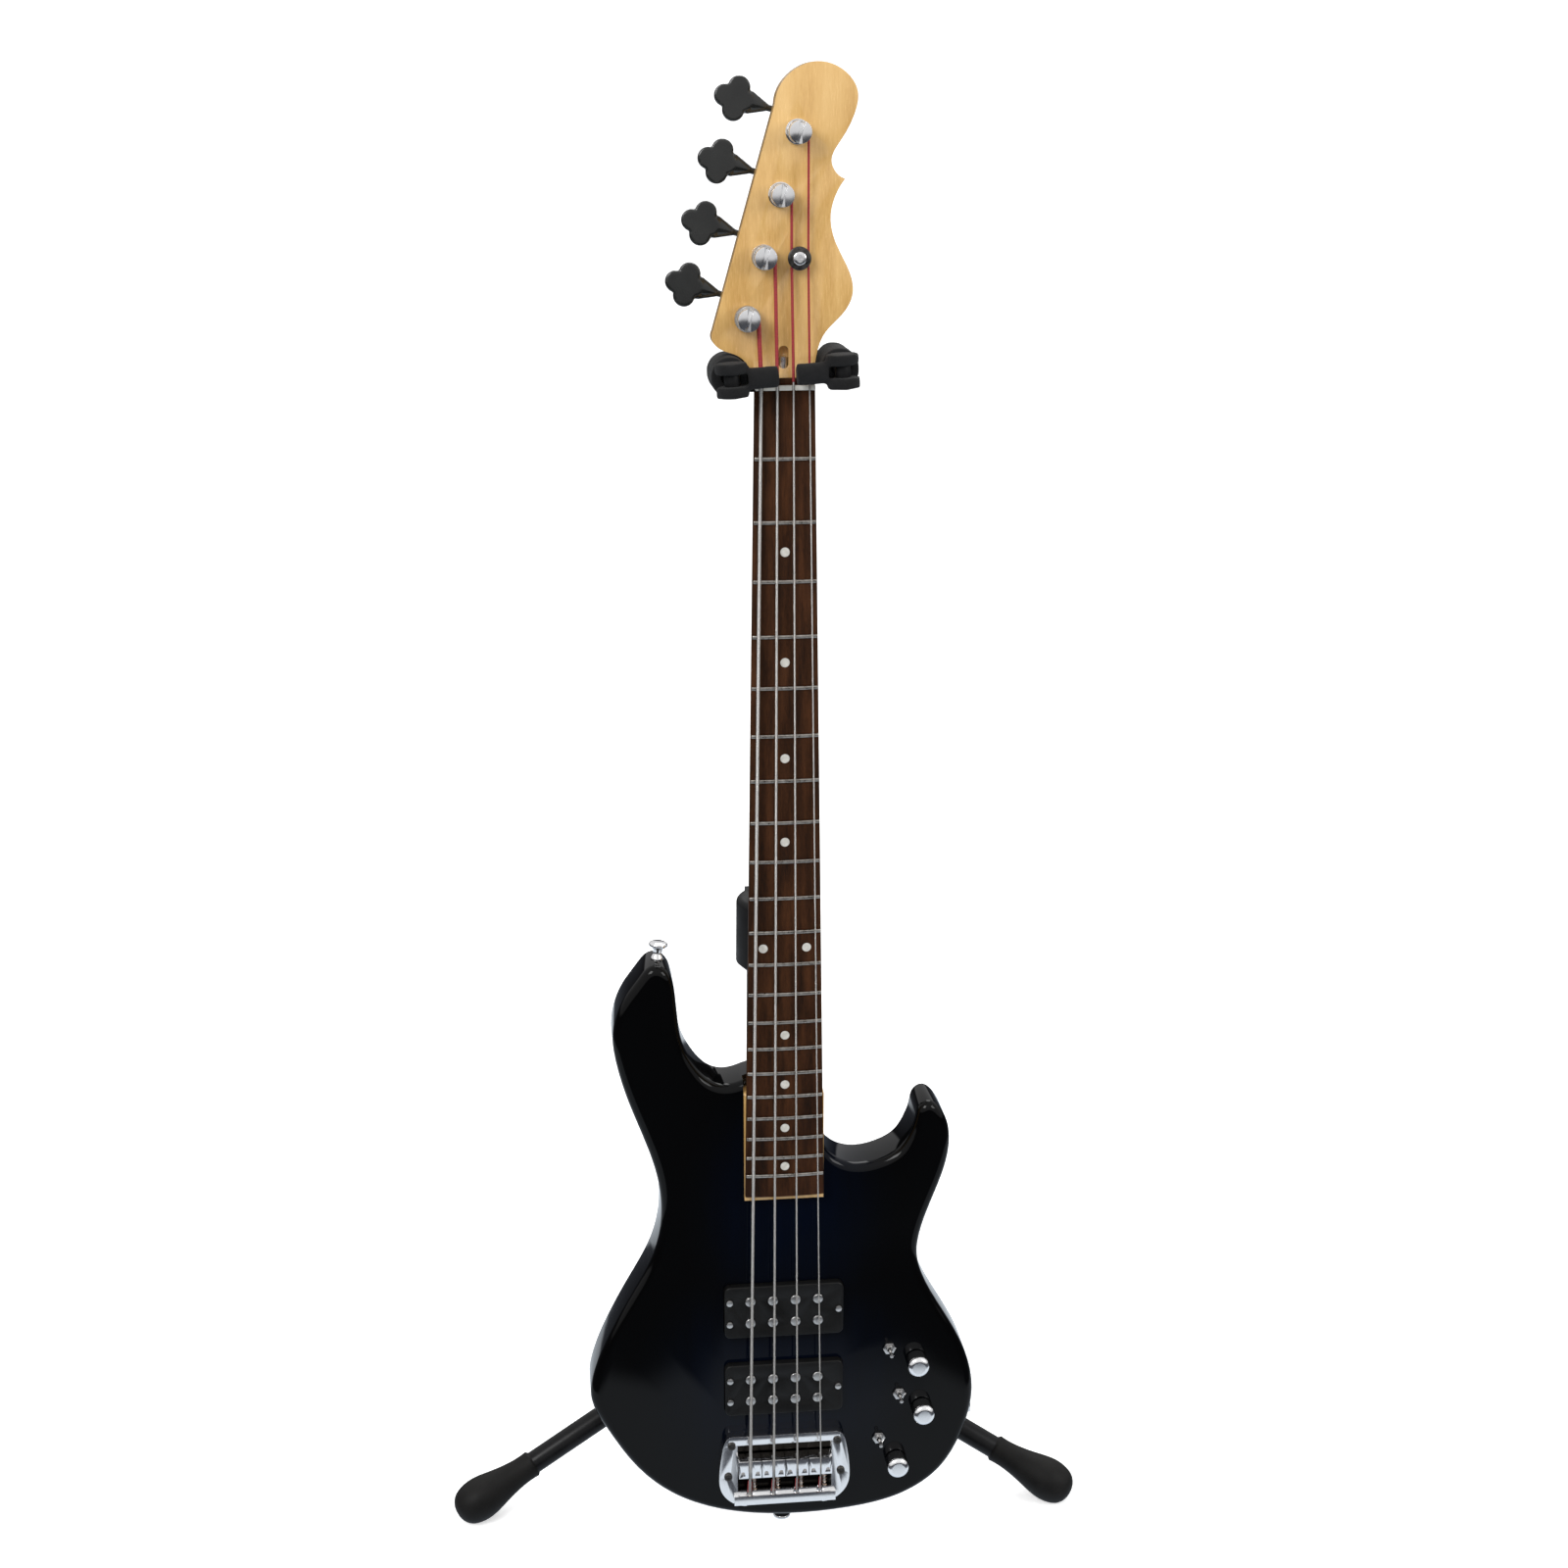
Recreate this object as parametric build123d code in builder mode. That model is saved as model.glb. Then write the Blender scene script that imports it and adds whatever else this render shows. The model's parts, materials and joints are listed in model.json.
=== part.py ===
"""Four-string bass guitar hanging in a padded yoke on a tripod stand.

Millimetres, +Z up. The guitar faces -Y, and the origin is on the floor under the middle.
The guitar is drawn on its own plane, `face`, which lies on the body's top: x runs across,
y up the neck from the nut, and z out of the face.
"""

import os
from math import atan2, cos, degrees, radians, sin, sqrt

from build123d import *

# ---------------------------------------------------------------- driving dimensions
LEAN = 6.0  # the guitar leans back by this many degrees
FLOOR_CLEARANCE = 61.0  # under the body's lowest point
NUT_Y = -136.0  # row Y of the nut, which centres the whole object on the origin
MAST_REACH = 95.0  # mast axis behind the nut

SCALE_LENGTH = 863.6
FRET_COUNT = 21
BODY_BOTTOM = -919.0
BODY_DEPTH = 44.0
BODY_STEPS = ((0, 5.0), (2.0, 1.6), (4.5, 0))  # inset of the outline, depth from the face
NUT_WIDTH = 43.0
BOARD_TAPER = 0.0295  # extra width for each millimetre down the board
BOARD_TOP = 11.0
BOARD_THICK = 6.0
BOARD_END = -625.0
BOARD_START = 8.0
CROWN_RADIUS = 300.0
FRET_WIDTH, FRET_HEIGHT = 2.6, 1.2
HEAD_FACE = 1.5
HEAD_THICK = 14.0
HEEL_BOTTOM = -14.0

STRING_RADII = (1.30, 1.00, 0.75, 0.55)
NUT_STRINGS = (-17.2, -5.75, 5.75, 17.2)
SADDLE_PITCH = 19.05
NUT_STRING_Z, SADDLE_STRING_Z = 12.9, 16.0

TUNER_FIRST = (-26.1, 49.4)
TUNER_STEP = (11.93, 42.1)
POST_RADIUS, POST_TOP = 6.2, 21.0
WORM_OFFSET, WORM_Z = 10.0, -21.0
KEY_REACH = 44.7

PICKUPS = (-727.5, -797.0)
PICKUP_SIZE = (95.0, 45.0)
PICKUP_TOP, PICKUP_FOOT = 6.0, -16.0
POLE_PITCH, POLE_ROWS, POLE_RADIUS = 18.0, 9.5, 4.0
KNOBS = {"volume_knob": (108.0, -781.0), "treble_knob": (113.0, -825.0), "bass_knob": (92.5, -872.0)}
TOGGLES = {
    "pickup_toggle": (85.7, -769.0),
    "coil_toggle": (94.3, -810.5),
    "preamp_toggle": (78.0, -850.0),
}
KNOB_RADIUS, KNOB_HEIGHT = 9.0, 14.0
FACE_SKIN = 7.0  # wood left over the control cavity
JACK_FACE, JACK_Y, JACK_Z, JACK_BORE = 154.4, -838.0, -24.0, 3.25

MAST_RADIUS, SLEEVE_RADIUS, TUBE_WALL = 11.0, 14.0, 1.5
CLUTCH_Z = 515.0
HUB_Z = 118.0
LEG_RADIUS, LEG_PIVOT, LEG_SPREAD = 9.5, 34.0, 268.0
FRONT_SPLAY = 68.0  # front legs from straight ahead, in degrees
BASE_TURN = 2.5  # the whole base is turned a little clockwise, in degrees
FOOT_RADIUS, FOOT_Z = 18.0, 16.0
YOKE_TILT, YOKE_Y = 4.0, 12.0
ARM_X, ARM_HALF_WIDTH, ARM_HALF_HEIGHT = 39.0, 14.0, 14.5
GATE_Z = 27.0
BACKREST_Y, BACKREST_RADIUS = -800.0, 14.0

GAP = 0.3  # between pieces that move past each other
RUNNING = 0.05  # radial clearance of a shaft in its bearing

lean_sin, lean_cos = sin(radians(LEAN)), cos(radians(LEAN))
NUT_Z = FLOOR_CLEARANCE - BODY_BOTTOM * lean_cos + BODY_DEPTH / 2 * lean_sin
MAST_Y = NUT_Y + MAST_REACH

face = Plane(origin=(0, NUT_Y, NUT_Z), x_dir=(1, 0, 0), z_dir=(0, -lean_cos, lean_sin))
mast_axis = Plane(origin=(0, MAST_Y, 0), x_dir=(1, 0, 0), z_dir=(0, 0, 1))


def at(x, y, z=0.0):
    """Row point of a place on the guitar."""
    return face.from_local_coords(Vector(x, y, z))


def toward(x, y, z=0.0):
    """Row direction of a direction on the guitar."""
    return face.from_local_coords(Vector(x, y, z)) - face.origin


def crossing(x, y, z, normal, across):
    """Plane through a place on the guitar, square to `normal`."""
    return Plane(origin=at(x, y, z), x_dir=toward(*across), z_dir=toward(*normal))


def board_width(y):
    return NUT_WIDTH - BOARD_TAPER * y


def fret_y(number):
    return -SCALE_LENGTH * (1 - 2 ** (-number / 12))


def save(part, label):
    part.label = label
    export_step(part, f"parts/{label}.step")


os.makedirs("parts", exist_ok=True)

# ---------------------------------------------------------------- guitar body
body_outline = [
    (-42, -535), (-56, -531.5), (-68, -518.5), (-78, -497.5), (-81, -477), (-82.5, -460),
    (-85, -446), (-91, -437), (-99, -435), (-111, -446), (-120.5, -459), (-127.5, -474),
    (-131, -493), (-129, -512), (-119, -549), (-104, -591), (-97.5, -617), (-96, -645),
    (-103, -678), (-120.5, -712), (-138.5, -746), (-151, -777), (-154.5, -800), (-142.5, -830),
    (-118, -868), (-91.5, -892.5), (-51, -911), (2, -919), (54, -917), (100, -906), (129, -885.5),
    (148.5, -850), (155.5, -814), (148.5, -778), (130, -741.5), (112, -706), (108, -687),
    (110, -670), (127, -620), (132, -597), (131, -578), (124, -563), (115, -556.5), (108, -560),
    (104.5, -571), (99.5, -585), (92, -596), (80, -603), (60, -607), (46, -603.5), (35, -594),
    (24, -572), (6, -545), (-14, -530), (-28, -531),
]
neck_heel = (62.0, -630.0)
plate_y, plate_holes = -600.0, (34.0, 46.0)  # the four neck bolts
cavity_middle, cavity_size, cavity_corner = (92.0, -821.0), (74.0, 126.0), 34.0
cavity_rim = 7.0
jack_inside, jack_nut = 127.0, 2.4


def drawn_in(outline, inset):
    """The same closed outline with every point moved in along its normal."""
    moved = []
    for before, here, after in zip(outline[-1:] + outline[:-1], outline, outline[1:] + outline[:1]):
        run = Vector(*after) - Vector(*before)
        moved.append(Vector(*here) + Vector(-run.Y, run.X).normalized() * inset)
    return moved


def round_box(width, height, radius):
    return RectangleRounded(width, height, radius)


with BuildPart() as body:
    # the rounded edge, as three slabs that step in towards both faces
    for inset, depth in BODY_STEPS:
        with BuildSketch(face.offset(depth - BODY_DEPTH)):
            with BuildLine():
                Spline(*drawn_in(body_outline, inset), periodic=True)
            make_face()
        extrude(amount=BODY_DEPTH - 2 * depth)
    # neck pocket
    with BuildSketch(face.offset(HEEL_BOTTOM)):
        with Locations((0, (neck_heel[1] - 520) / 2)):
            Rectangle(neck_heel[0] + 0.2, -520 - neck_heel[1])
    extrude(amount=40, mode=Mode.SUBTRACT)
    # pickup wells
    with BuildSketch(face.offset(PICKUP_FOOT - 6)):
        with Locations(*[(0, y) for y in PICKUPS]):
            round_box(PICKUP_SIZE[0] + 1, PICKUP_SIZE[1] + 1, 5.5)
    extrude(amount=40, mode=Mode.SUBTRACT)
    # control cavity, open at the back, with a rebate for its cover
    with BuildSketch(face.offset(-BODY_DEPTH)):
        with Locations(cavity_middle):
            round_box(*cavity_size, cavity_corner)
    extrude(amount=BODY_DEPTH - FACE_SKIN, mode=Mode.SUBTRACT)
    with BuildSketch(face.offset(-BODY_DEPTH)):
        with Locations(cavity_middle):
            offset(round_box(*cavity_size, cavity_corner), amount=cavity_rim, mode=Mode.ADD)
    extrude(amount=2.6, mode=Mode.SUBTRACT)
    # holes for the knobs, the toggles and the neck bolts
    with BuildSketch(face.offset(-FACE_SKIN - 1)):
        with Locations(*KNOBS.values()):
            Circle(4.8)
        with Locations(*TOGGLES.values()):
            Circle(3.2)
    extrude(amount=FACE_SKIN + 2, mode=Mode.SUBTRACT)
    with BuildSketch(face.offset(-BODY_DEPTH)):
        with Locations((0, plate_y)):
            with GridLocations(*plate_holes, 2, 2):
                Circle(2.5)
    extrude(amount=BODY_DEPTH, mode=Mode.SUBTRACT)
    # side bore for the output jack
    with BuildSketch(crossing(jack_inside, JACK_Y, JACK_Z, (1, 0, 0), (0, 1, 0))):
        Circle(6.1)
    extrude(amount=40, mode=Mode.SUBTRACT)
save(body.part, "body")

# ---------------------------------------------------------------- neck
head_outline = [
    (-21.5, 4), (-23, 12), (-33, 23.5), (-44, 27.5), (-50.5, 34), (-50, 40),
]
posts = [(TUNER_FIRST[0] + n * TUNER_STEP[0], TUNER_FIRST[1] + n * TUNER_STEP[1]) for n in range(4)]
head_edge = [
    (-6, 194), (2, 212), (22, 222), (42, 216), (51.5, 202), (49.5, 188), (40, 170), (33.5, 156),
    (37, 148), (43, 144),
]
head_lower = [
    (43, 144), (36, 132), (33, 118), (37, 100), (46, 82), (49, 66), (43, 53), (29, 38),
    (22.5, 18), (21.5, 4),
]
scoop_radius = 25.0
scoop_y = BOARD_START + sqrt(scoop_radius**2 - (scoop_radius - (BOARD_TOP - BOARD_THICK - HEAD_FACE)) ** 2)


def neck_section(y, depth):
    """Half-round back of the neck at one place: width of the board, `depth` thick."""
    half = board_width(y) / 2
    with BuildSketch(crossing(0, y, 0, (0, 1, 0), (1, 0, 0))) as section:
        with BuildLine():
            Line((-half, -5), (half, -5))
            Spline((half, -5), (half * 0.62, depth * 0.74 - 5), (0, depth - 5),
                   (-half * 0.62, depth * 0.74 - 5), (-half, -5))
        make_face()
    return section.sketch


with BuildPart() as neck:
    loft(sections=[neck_section(6, 15), neck_section(-541, 18.5)], ruled=True)
    with BuildSketch(face.offset(HEEL_BOTTOM)):
        with BuildLine():
            Polyline((-31, -541), (31, -541), (31, neck_heel[1]), (-31, neck_heel[1]), close=True)
        make_face()
    extrude(amount=BOARD_TOP - BOARD_THICK - HEEL_BOTTOM)
    with BuildSketch(face.offset(HEAD_FACE - HEAD_THICK)):
        with BuildLine():
            Spline(*head_outline)
            Line(head_outline[-1], head_edge[0])
            Spline(*head_edge)
            Spline(*head_lower)
            Line(head_lower[-1], head_outline[0])
        make_face()
    extrude(amount=HEAD_THICK)
    with BuildSketch(face.offset(HEAD_FACE - 1)):
        with Locations((0, (4 + scoop_y) / 2)):
            Rectangle(NUT_WIDTH, scoop_y - 4)
    extrude(amount=BOARD_TOP - BOARD_THICK - HEAD_FACE + 1)
    with BuildSketch(crossing(0, scoop_y, HEAD_FACE + scoop_radius, (1, 0, 0), (0, 1, 0))):
        Circle(scoop_radius)
    extrude(amount=60, both=True, mode=Mode.SUBTRACT)
    # bores for the tuner posts, and the truss rod's channel with its opening
    with BuildSketch(face.offset(HEAD_FACE - HEAD_THICK - 1)):
        with Locations(*posts):
            Circle(POST_RADIUS + 0.6)
    extrude(amount=HEAD_THICK + 2, mode=Mode.SUBTRACT)
    with BuildSketch(crossing(0, 30, -2, (0, -1, 0), (1, 0, 0))):
        Circle(3.3)
    extrude(amount=630, mode=Mode.SUBTRACT)
    with BuildSketch(face.offset(-5)):
        with Locations((0, 22)):
            SlotOverall(16, 7, rotation=90)
    extrude(amount=12, mode=Mode.SUBTRACT)
    with BuildSketch(face.offset(HEEL_BOTTOM)):
        with Locations((0, plate_y)):
            with GridLocations(*plate_holes, 2, 2):
                Circle(2.2)
    extrude(amount=16, mode=Mode.SUBTRACT)
save(neck.part, "neck")

# ---------------------------------------------------------------- fingerboard, frets and nut


def crown(radius):
    """Long cylinder whose top is the fingerboard's crown."""
    axis = crossing(0, BOARD_START + 40, BOARD_TOP - CROWN_RADIUS, (0, -1, 0), (1, 0, 0))
    from_end = (Align.CENTER, Align.CENTER, Align.MIN)
    return axis * Cylinder(radius, 760, align=from_end, mode=Mode.PRIVATE)


dot_frets = {3: [0], 5: [0], 7: [0], 9: [0], 12: [-16.5, 16.5], 15: [0], 17: [0], 19: [0], 21: [0]}
dot_places = [
    (x, (fret_y(number) + fret_y(number - 1)) / 2) for number, row in dot_frets.items() for x in row
]

with BuildPart() as fingerboard:
    with BuildSketch(face.offset(BOARD_TOP - BOARD_THICK)):
        with BuildLine():
            start, end = board_width(BOARD_START) / 2, board_width(BOARD_END) / 2
            Polyline((-start, BOARD_START), (start, BOARD_START), (end, BOARD_END), (-end, BOARD_END),
                     close=True)
        make_face()
    extrude(amount=BOARD_THICK)
    add(crown(CROWN_RADIUS), mode=Mode.INTERSECT)
    with BuildSketch(face.offset(BOARD_TOP - 2.5)):
        with Locations(*dot_places):
            Circle(3.5)
    extrude(amount=5, mode=Mode.SUBTRACT)
    with BuildSketch(face.offset(BOARD_TOP - 3)):
        with Locations((0, 1.75)):
            Rectangle(60, 3.5)
    extrude(amount=5, mode=Mode.SUBTRACT)
save(fingerboard.part, "fingerboard")

with BuildPart() as fret_dots:
    with BuildSketch(face.offset(BOARD_TOP - 2.5)):
        with Locations(*dot_places):
            Circle(3.45)
    extrude(amount=5)
    add(crown(CROWN_RADIUS), mode=Mode.INTERSECT)
save(fret_dots.part, "fret_dots")

with BuildPart() as frets:
    for number in range(1, FRET_COUNT + 1):
        with BuildSketch(face.offset(BOARD_TOP - 3)):
            with Locations((0, fret_y(number))):
                Rectangle(board_width(fret_y(number)) - 0.6, FRET_WIDTH)
        extrude(amount=7)
    add(crown(CROWN_RADIUS + FRET_HEIGHT), mode=Mode.INTERSECT)
    add(crown(CROWN_RADIUS), mode=Mode.SUBTRACT)
save(frets.part, "frets")

nut_top = NUT_STRING_Z + 1.2
with BuildPart() as nut:
    with BuildSketch(face.offset(BOARD_TOP - 3)):
        with Locations((0, 1.75)):
            Rectangle(NUT_WIDTH - 0.4, 3.4)
    extrude(amount=nut_top - BOARD_TOP + 3)
    with BuildSketch(face.offset(NUT_STRING_Z - 0.1)):
        for x, radius in zip(NUT_STRINGS, STRING_RADII):
            with Locations((x, 1.75)):
                Rectangle(2 * radius + 0.6, 6)
    extrude(amount=5, mode=Mode.SUBTRACT)
save(nut.part, "nut")

with BuildPart() as truss_rod:
    with BuildSketch(crossing(0, 22, -2, (0, -1, 0), (1, 0, 0))):
        Circle(3.1)
    extrude(amount=610)
save(truss_rod.part, "truss_rod")

# ---------------------------------------------------------------- neck joint
with BuildPart() as neck_plate:
    with BuildSketch(face.offset(-BODY_DEPTH - 2.0)):
        with Locations((0, plate_y)):
            round_box(46, 58, 5)
    extrude(amount=2.0)
    with BuildSketch(face.offset(-BODY_DEPTH - 2.0)):
        with Locations((0, plate_y)):
            with GridLocations(*plate_holes, 2, 2):
                Circle(2.4)
    extrude(amount=2.0, mode=Mode.SUBTRACT)
save(neck_plate.part, "neck_plate")

with BuildPart() as neck_bolts:
    with BuildSketch(face.offset(-BODY_DEPTH - 2.0)):
        with Locations((0, plate_y)):
            with GridLocations(*plate_holes, 2, 2):
                Circle(2.1)
    extrude(amount=44)
    with BuildSketch(face.offset(-BODY_DEPTH - 4.2)):
        with Locations((0, plate_y)):
            with GridLocations(*plate_holes, 2, 2):
                Circle(4.2)
    extrude(amount=2.2)
save(neck_bolts.part, "neck_bolts")

# ---------------------------------------------------------------- tuners
key_way = Vector(-TUNER_STEP[1], TUNER_STEP[0]).normalized()  # from a post out to its key
head_way = Vector(TUNER_STEP[0], TUNER_STEP[1]).normalized()  # along the row of posts
head_back = HEAD_FACE - HEAD_THICK
worm_radius, worm_shaft, wheel_radius = 3.3, 2.4, 6.4
ear_spread, ear_thick = 8.5, 3.0


def beside(post, out, up):
    """Place `out` towards the key and `up` the row of tuners from a post."""
    x, y = post
    return (x + key_way.X * out + head_way.X * up, y + key_way.Y * out + head_way.Y * up)


def worm_plane(post, out):
    """Plane across the worm's axis, `out` from the post, facing the key."""
    x, y = beside(post, out, WORM_OFFSET)
    return crossing(x, y, WORM_Z, (key_way.X, key_way.Y, 0), (head_way.X, head_way.Y, 0))


tilt = degrees(atan2(head_way.Y, head_way.X))
with BuildPart() as tuner_housings:
    for post in posts:
        centre = beside(post, 2, 3)
        with BuildSketch(face.offset(head_back - 2)):
            with Locations(Location((centre[0], centre[1], 0), (0, 0, tilt))):
                round_box(36, 28, 4)
        extrude(amount=2)
        with BuildSketch(face.offset(head_back - 3)):
            with Locations(post):
                Circle(POST_RADIUS + 0.6)
        extrude(amount=4, mode=Mode.SUBTRACT)
        for side in (-1, 1):
            ear = beside(post, side * ear_spread, WORM_OFFSET)
            with BuildSketch(face.offset(WORM_Z - 5)):
                with Locations(Location((ear[0], ear[1], 0), (0, 0, tilt))):
                    round_box(10, ear_thick, 1)
            extrude(amount=head_back - 2 - WORM_Z + 5.5)
        with BuildSketch(worm_plane(post, -ear_spread - 4)):
            Circle(worm_shaft + RUNNING)
        extrude(amount=2 * ear_spread + 8, mode=Mode.SUBTRACT)
        # front bushing round the post
        with BuildSketch(face.offset(HEAD_FACE)):
            with Locations(post):
                Circle(8.6)
                Circle(POST_RADIUS + 0.6, mode=Mode.SUBTRACT)
        extrude(amount=2.2)
save(tuner_housings.part, "tuner_housings")

for number, post in enumerate(posts, start=1):
    with BuildPart() as tuner_post:
        with BuildSketch(face.offset(WORM_Z - 3)):
            with Locations(post):
                Circle(POST_RADIUS - 2.5)
        extrude(amount=head_back - WORM_Z + 3)
        with BuildSketch(face.offset(head_back - 1.5)):
            with Locations(post):
                Circle(POST_RADIUS)
        extrude(amount=POST_TOP - head_back + 1.5)
        with BuildSketch(face.offset(POST_TOP - 5)):
            with Locations(post):
                Circle(POST_RADIUS + 1.6)
        extrude(amount=5)
        with BuildSketch(face.offset(POST_TOP - 8)):
            with Locations(Location((post[0], post[1], 0), (0, 0, tilt))):
                Rectangle(30, 2.6)
        extrude(amount=10, mode=Mode.SUBTRACT)
        # worm wheel, with its teeth cut round the rim
        with BuildSketch(face.offset(WORM_Z - 3)):
            with Locations(post):
                Circle(wheel_radius)
                with PolarLocations(wheel_radius + 0.5, 14):
                    Circle(0.9, mode=Mode.SUBTRACT)
        extrude(amount=6)
    save(tuner_post.part, f"tuner_post_{number}")

    leaf_x, leaf_r = 8.0, 7.6
    with BuildPart() as tuner_key:
        with BuildSketch(worm_plane(post, -ear_spread - 1.5)):
            Circle(worm_shaft)
        extrude(amount=KEY_REACH - 12 + ear_spread + 1.5)
        with BuildSketch(worm_plane(post, -ear_spread + ear_thick / 2 + 0.2)):
            Circle(worm_radius)
        extrude(amount=2 * ear_spread - ear_thick - 0.4)
        with BuildSketch(worm_plane(post, ear_spread + ear_thick / 2 + 0.3)):
            Circle(3.6)
        extrude(amount=2)
        # stem that widens into the four-lobed leaf
        with BuildSketch(worm_plane(post, KEY_REACH - 22)) as stem_start:
            Circle(2.8)
        with BuildSketch(worm_plane(post, KEY_REACH - 10)) as stem_end:
            Ellipse(8.0, 3.2)
        loft(sections=[stem_start.sketch, stem_end.sketch])
        leaf = beside(post, KEY_REACH, WORM_OFFSET)
        with BuildSketch(face.offset(WORM_Z - 3.2)):
            with Locations(Location((leaf[0], leaf[1], 0), (0, 0, tilt))):
                Circle(9)
                for x, y in ((leaf_x, 0), (-leaf_x, 0), (0, leaf_x), (0, -4)):
                    with Locations((x, y)):
                        Circle(leaf_r)
        extrude(amount=6.4)
    save(tuner_key.part, f"tuner_key_{number}")

with BuildPart() as string_retainer:
    with BuildSketch(face.offset(HEAD_FACE)):
        with Locations((10.5, 90.6)):
            Circle(1.9)
    extrude(amount=7.5)
    with BuildSketch(face.offset(HEAD_FACE + 5.5)):
        with Locations((10.5, 90.6)):
            Circle(8.2)
    extrude(amount=2.4)
save(string_retainer.part, "string_retainer")

# ---------------------------------------------------------------- strings
wrap_low, wrap_high = HEAD_FACE + 3.2, HEAD_FACE + 9.0
retainer_z = HEAD_FACE + 4.0
rear_wall, rear_hole_z = -893.5, 9.0
saddle_xs = [(n - 1.5) * SADDLE_PITCH for n in range(4)]

with BuildPart() as strings:
    string_ends = zip(posts, NUT_STRINGS, saddle_xs, STRING_RADII)
    for number, (post, x_nut, x_saddle, radius) in enumerate(string_ends):
        post_edge = (post[0] + POST_RADIUS + GAP + radius, post[1])
        z_end = (wrap_low + wrap_high) / 2
        route = [at(post_edge[0], post_edge[1], z_end)]
        if number > 1:
            x_tree = post_edge[0] + (x_nut - post_edge[0]) * (post[1] - 90.6) / post[1]
            route.append(at(x_tree, 90.6, retainer_z))
        route.append(at(x_nut, 2.5, NUT_STRING_Z + radius))
        route.append(at(x_saddle, -SCALE_LENGTH, SADDLE_STRING_Z + radius))
        route.append(at(x_saddle, rear_wall, rear_hole_z))
        with BuildLine():
            wire = FilletPolyline(*route, radius=6)
        with BuildSketch(Plane(origin=route[0], z_dir=route[1] - route[0])):
            Circle(radius)
        sweep(path=wire)
        # turns round the post
        with BuildSketch(face.offset(wrap_low)):
            with Locations(post):
                Circle(POST_RADIUS + GAP + 2 * radius)
                Circle(POST_RADIUS + GAP, mode=Mode.SUBTRACT)
        extrude(amount=min(wrap_high - wrap_low, 7 * radius))
save(strings.part, "strings")

# ---------------------------------------------------------------- pickups
pole_places = [
    ((n - 1.5) * POLE_PITCH, y + row) for y in PICKUPS for n in range(4) for row in (POLE_ROWS, -POLE_ROWS)
]
pickup_screw_places = [
    place for y in PICKUPS for place in ((-43.5, y + POLE_ROWS), (-43.5, y - POLE_ROWS), (43.5, y))
]
with BuildPart() as pickup_covers:
    for y in PICKUPS:
        with BuildSketch(face.offset(PICKUP_FOOT)):
            with Locations((0, y)):
                round_box(*PICKUP_SIZE, 5)
        extrude(amount=PICKUP_TOP - PICKUP_FOOT)
    fillet(pickup_covers.faces().group_by(Axis(at(0, 0), toward(0, 0, 1)))[-1].edges(), radius=1.2)
    for y in PICKUPS:
        with BuildSketch(face.offset(PICKUP_FOOT)):
            with Locations((0, y)):
                round_box(76, 37, 3)
        extrude(amount=PICKUP_TOP - PICKUP_FOOT - 2.5, mode=Mode.SUBTRACT)
    with BuildSketch(face.offset(PICKUP_FOOT - 1)):
        with Locations(*pole_places):
            Circle(POLE_RADIUS + 0.1)
        with Locations(*pickup_screw_places):
            Circle(1.7)
    extrude(amount=40, mode=Mode.SUBTRACT)
save(pickup_covers.part, "pickup_covers")

with BuildPart() as pickup_poles:
    with BuildSketch(face.offset(PICKUP_FOOT + 2)):
        with Locations(*pole_places):
            Circle(POLE_RADIUS)
    extrude(amount=PICKUP_TOP - PICKUP_FOOT - 1.2)
save(pickup_poles.part, "pickup_poles")

with BuildPart() as pickup_coils:
    for y in PICKUPS:
        for row in (POLE_ROWS, -POLE_ROWS):
            with BuildSketch(face.offset(PICKUP_FOOT + 3)):
                with Locations((0, y + row)):
                    round_box(72, 17, 7)
            extrude(amount=15)
    with BuildSketch(face.offset(PICKUP_FOOT)):
        with Locations(*pole_places):
            Circle(POLE_RADIUS + 0.1)
    extrude(amount=30, mode=Mode.SUBTRACT)
save(pickup_coils.part, "pickup_coils")

# ---------------------------------------------------------------- bridge
bridge_half = [(39, -837), (46, -838.5), (50.5, -850), (53, -871), (51.5, -886), (44, -896), (24, -899.5)]
window_low, window_high, window_half = -887.0, -845.0, 38.2
bridge_tail = -893.5
with BuildPart() as bridge_plate:
    with BuildSketch(face):
        with BuildLine():
            right = Spline(*bridge_half)
            left = Spline(*[(-x, y) for x, y in bridge_half])
            Line(right @ 0, left @ 0)
            Line(right @ 1, left @ 1)
        make_face()
    extrude(amount=9.0)
    with BuildSketch(face.offset(2.5)):
        with Locations((0, (window_low + window_high) / 2)):
            Rectangle(2 * window_half, window_high - window_low)
    extrude(amount=10, mode=Mode.SUBTRACT)
    with BuildSketch(face.offset(9)):
        with Locations((0, bridge_tail)):
            Rectangle(2 * window_half + 6, 8)
    extrude(amount=4)
    for x in saddle_xs:
        with BuildSketch(crossing(x, window_low + 1, rear_hole_z, (0, -1, 0), (1, 0, 0))):
            Circle(2.2)
        extrude(amount=20, mode=Mode.SUBTRACT)
        with BuildSketch(crossing(x + 4.2, window_low + 1, 5, (0, -1, 0), (1, 0, 0))):
            Circle(1.4)
        extrude(amount=20, mode=Mode.SUBTRACT)
    bridge_screw_places = [(-45.8, -873), (45.8, -873), (-43, -845), (43, -845)]
    with BuildSketch(face.offset(-1)):
        with Locations(*bridge_screw_places):
            Circle(1.9)
    extrude(amount=20, mode=Mode.SUBTRACT)
save(bridge_plate.part, "bridge_plate")

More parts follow.
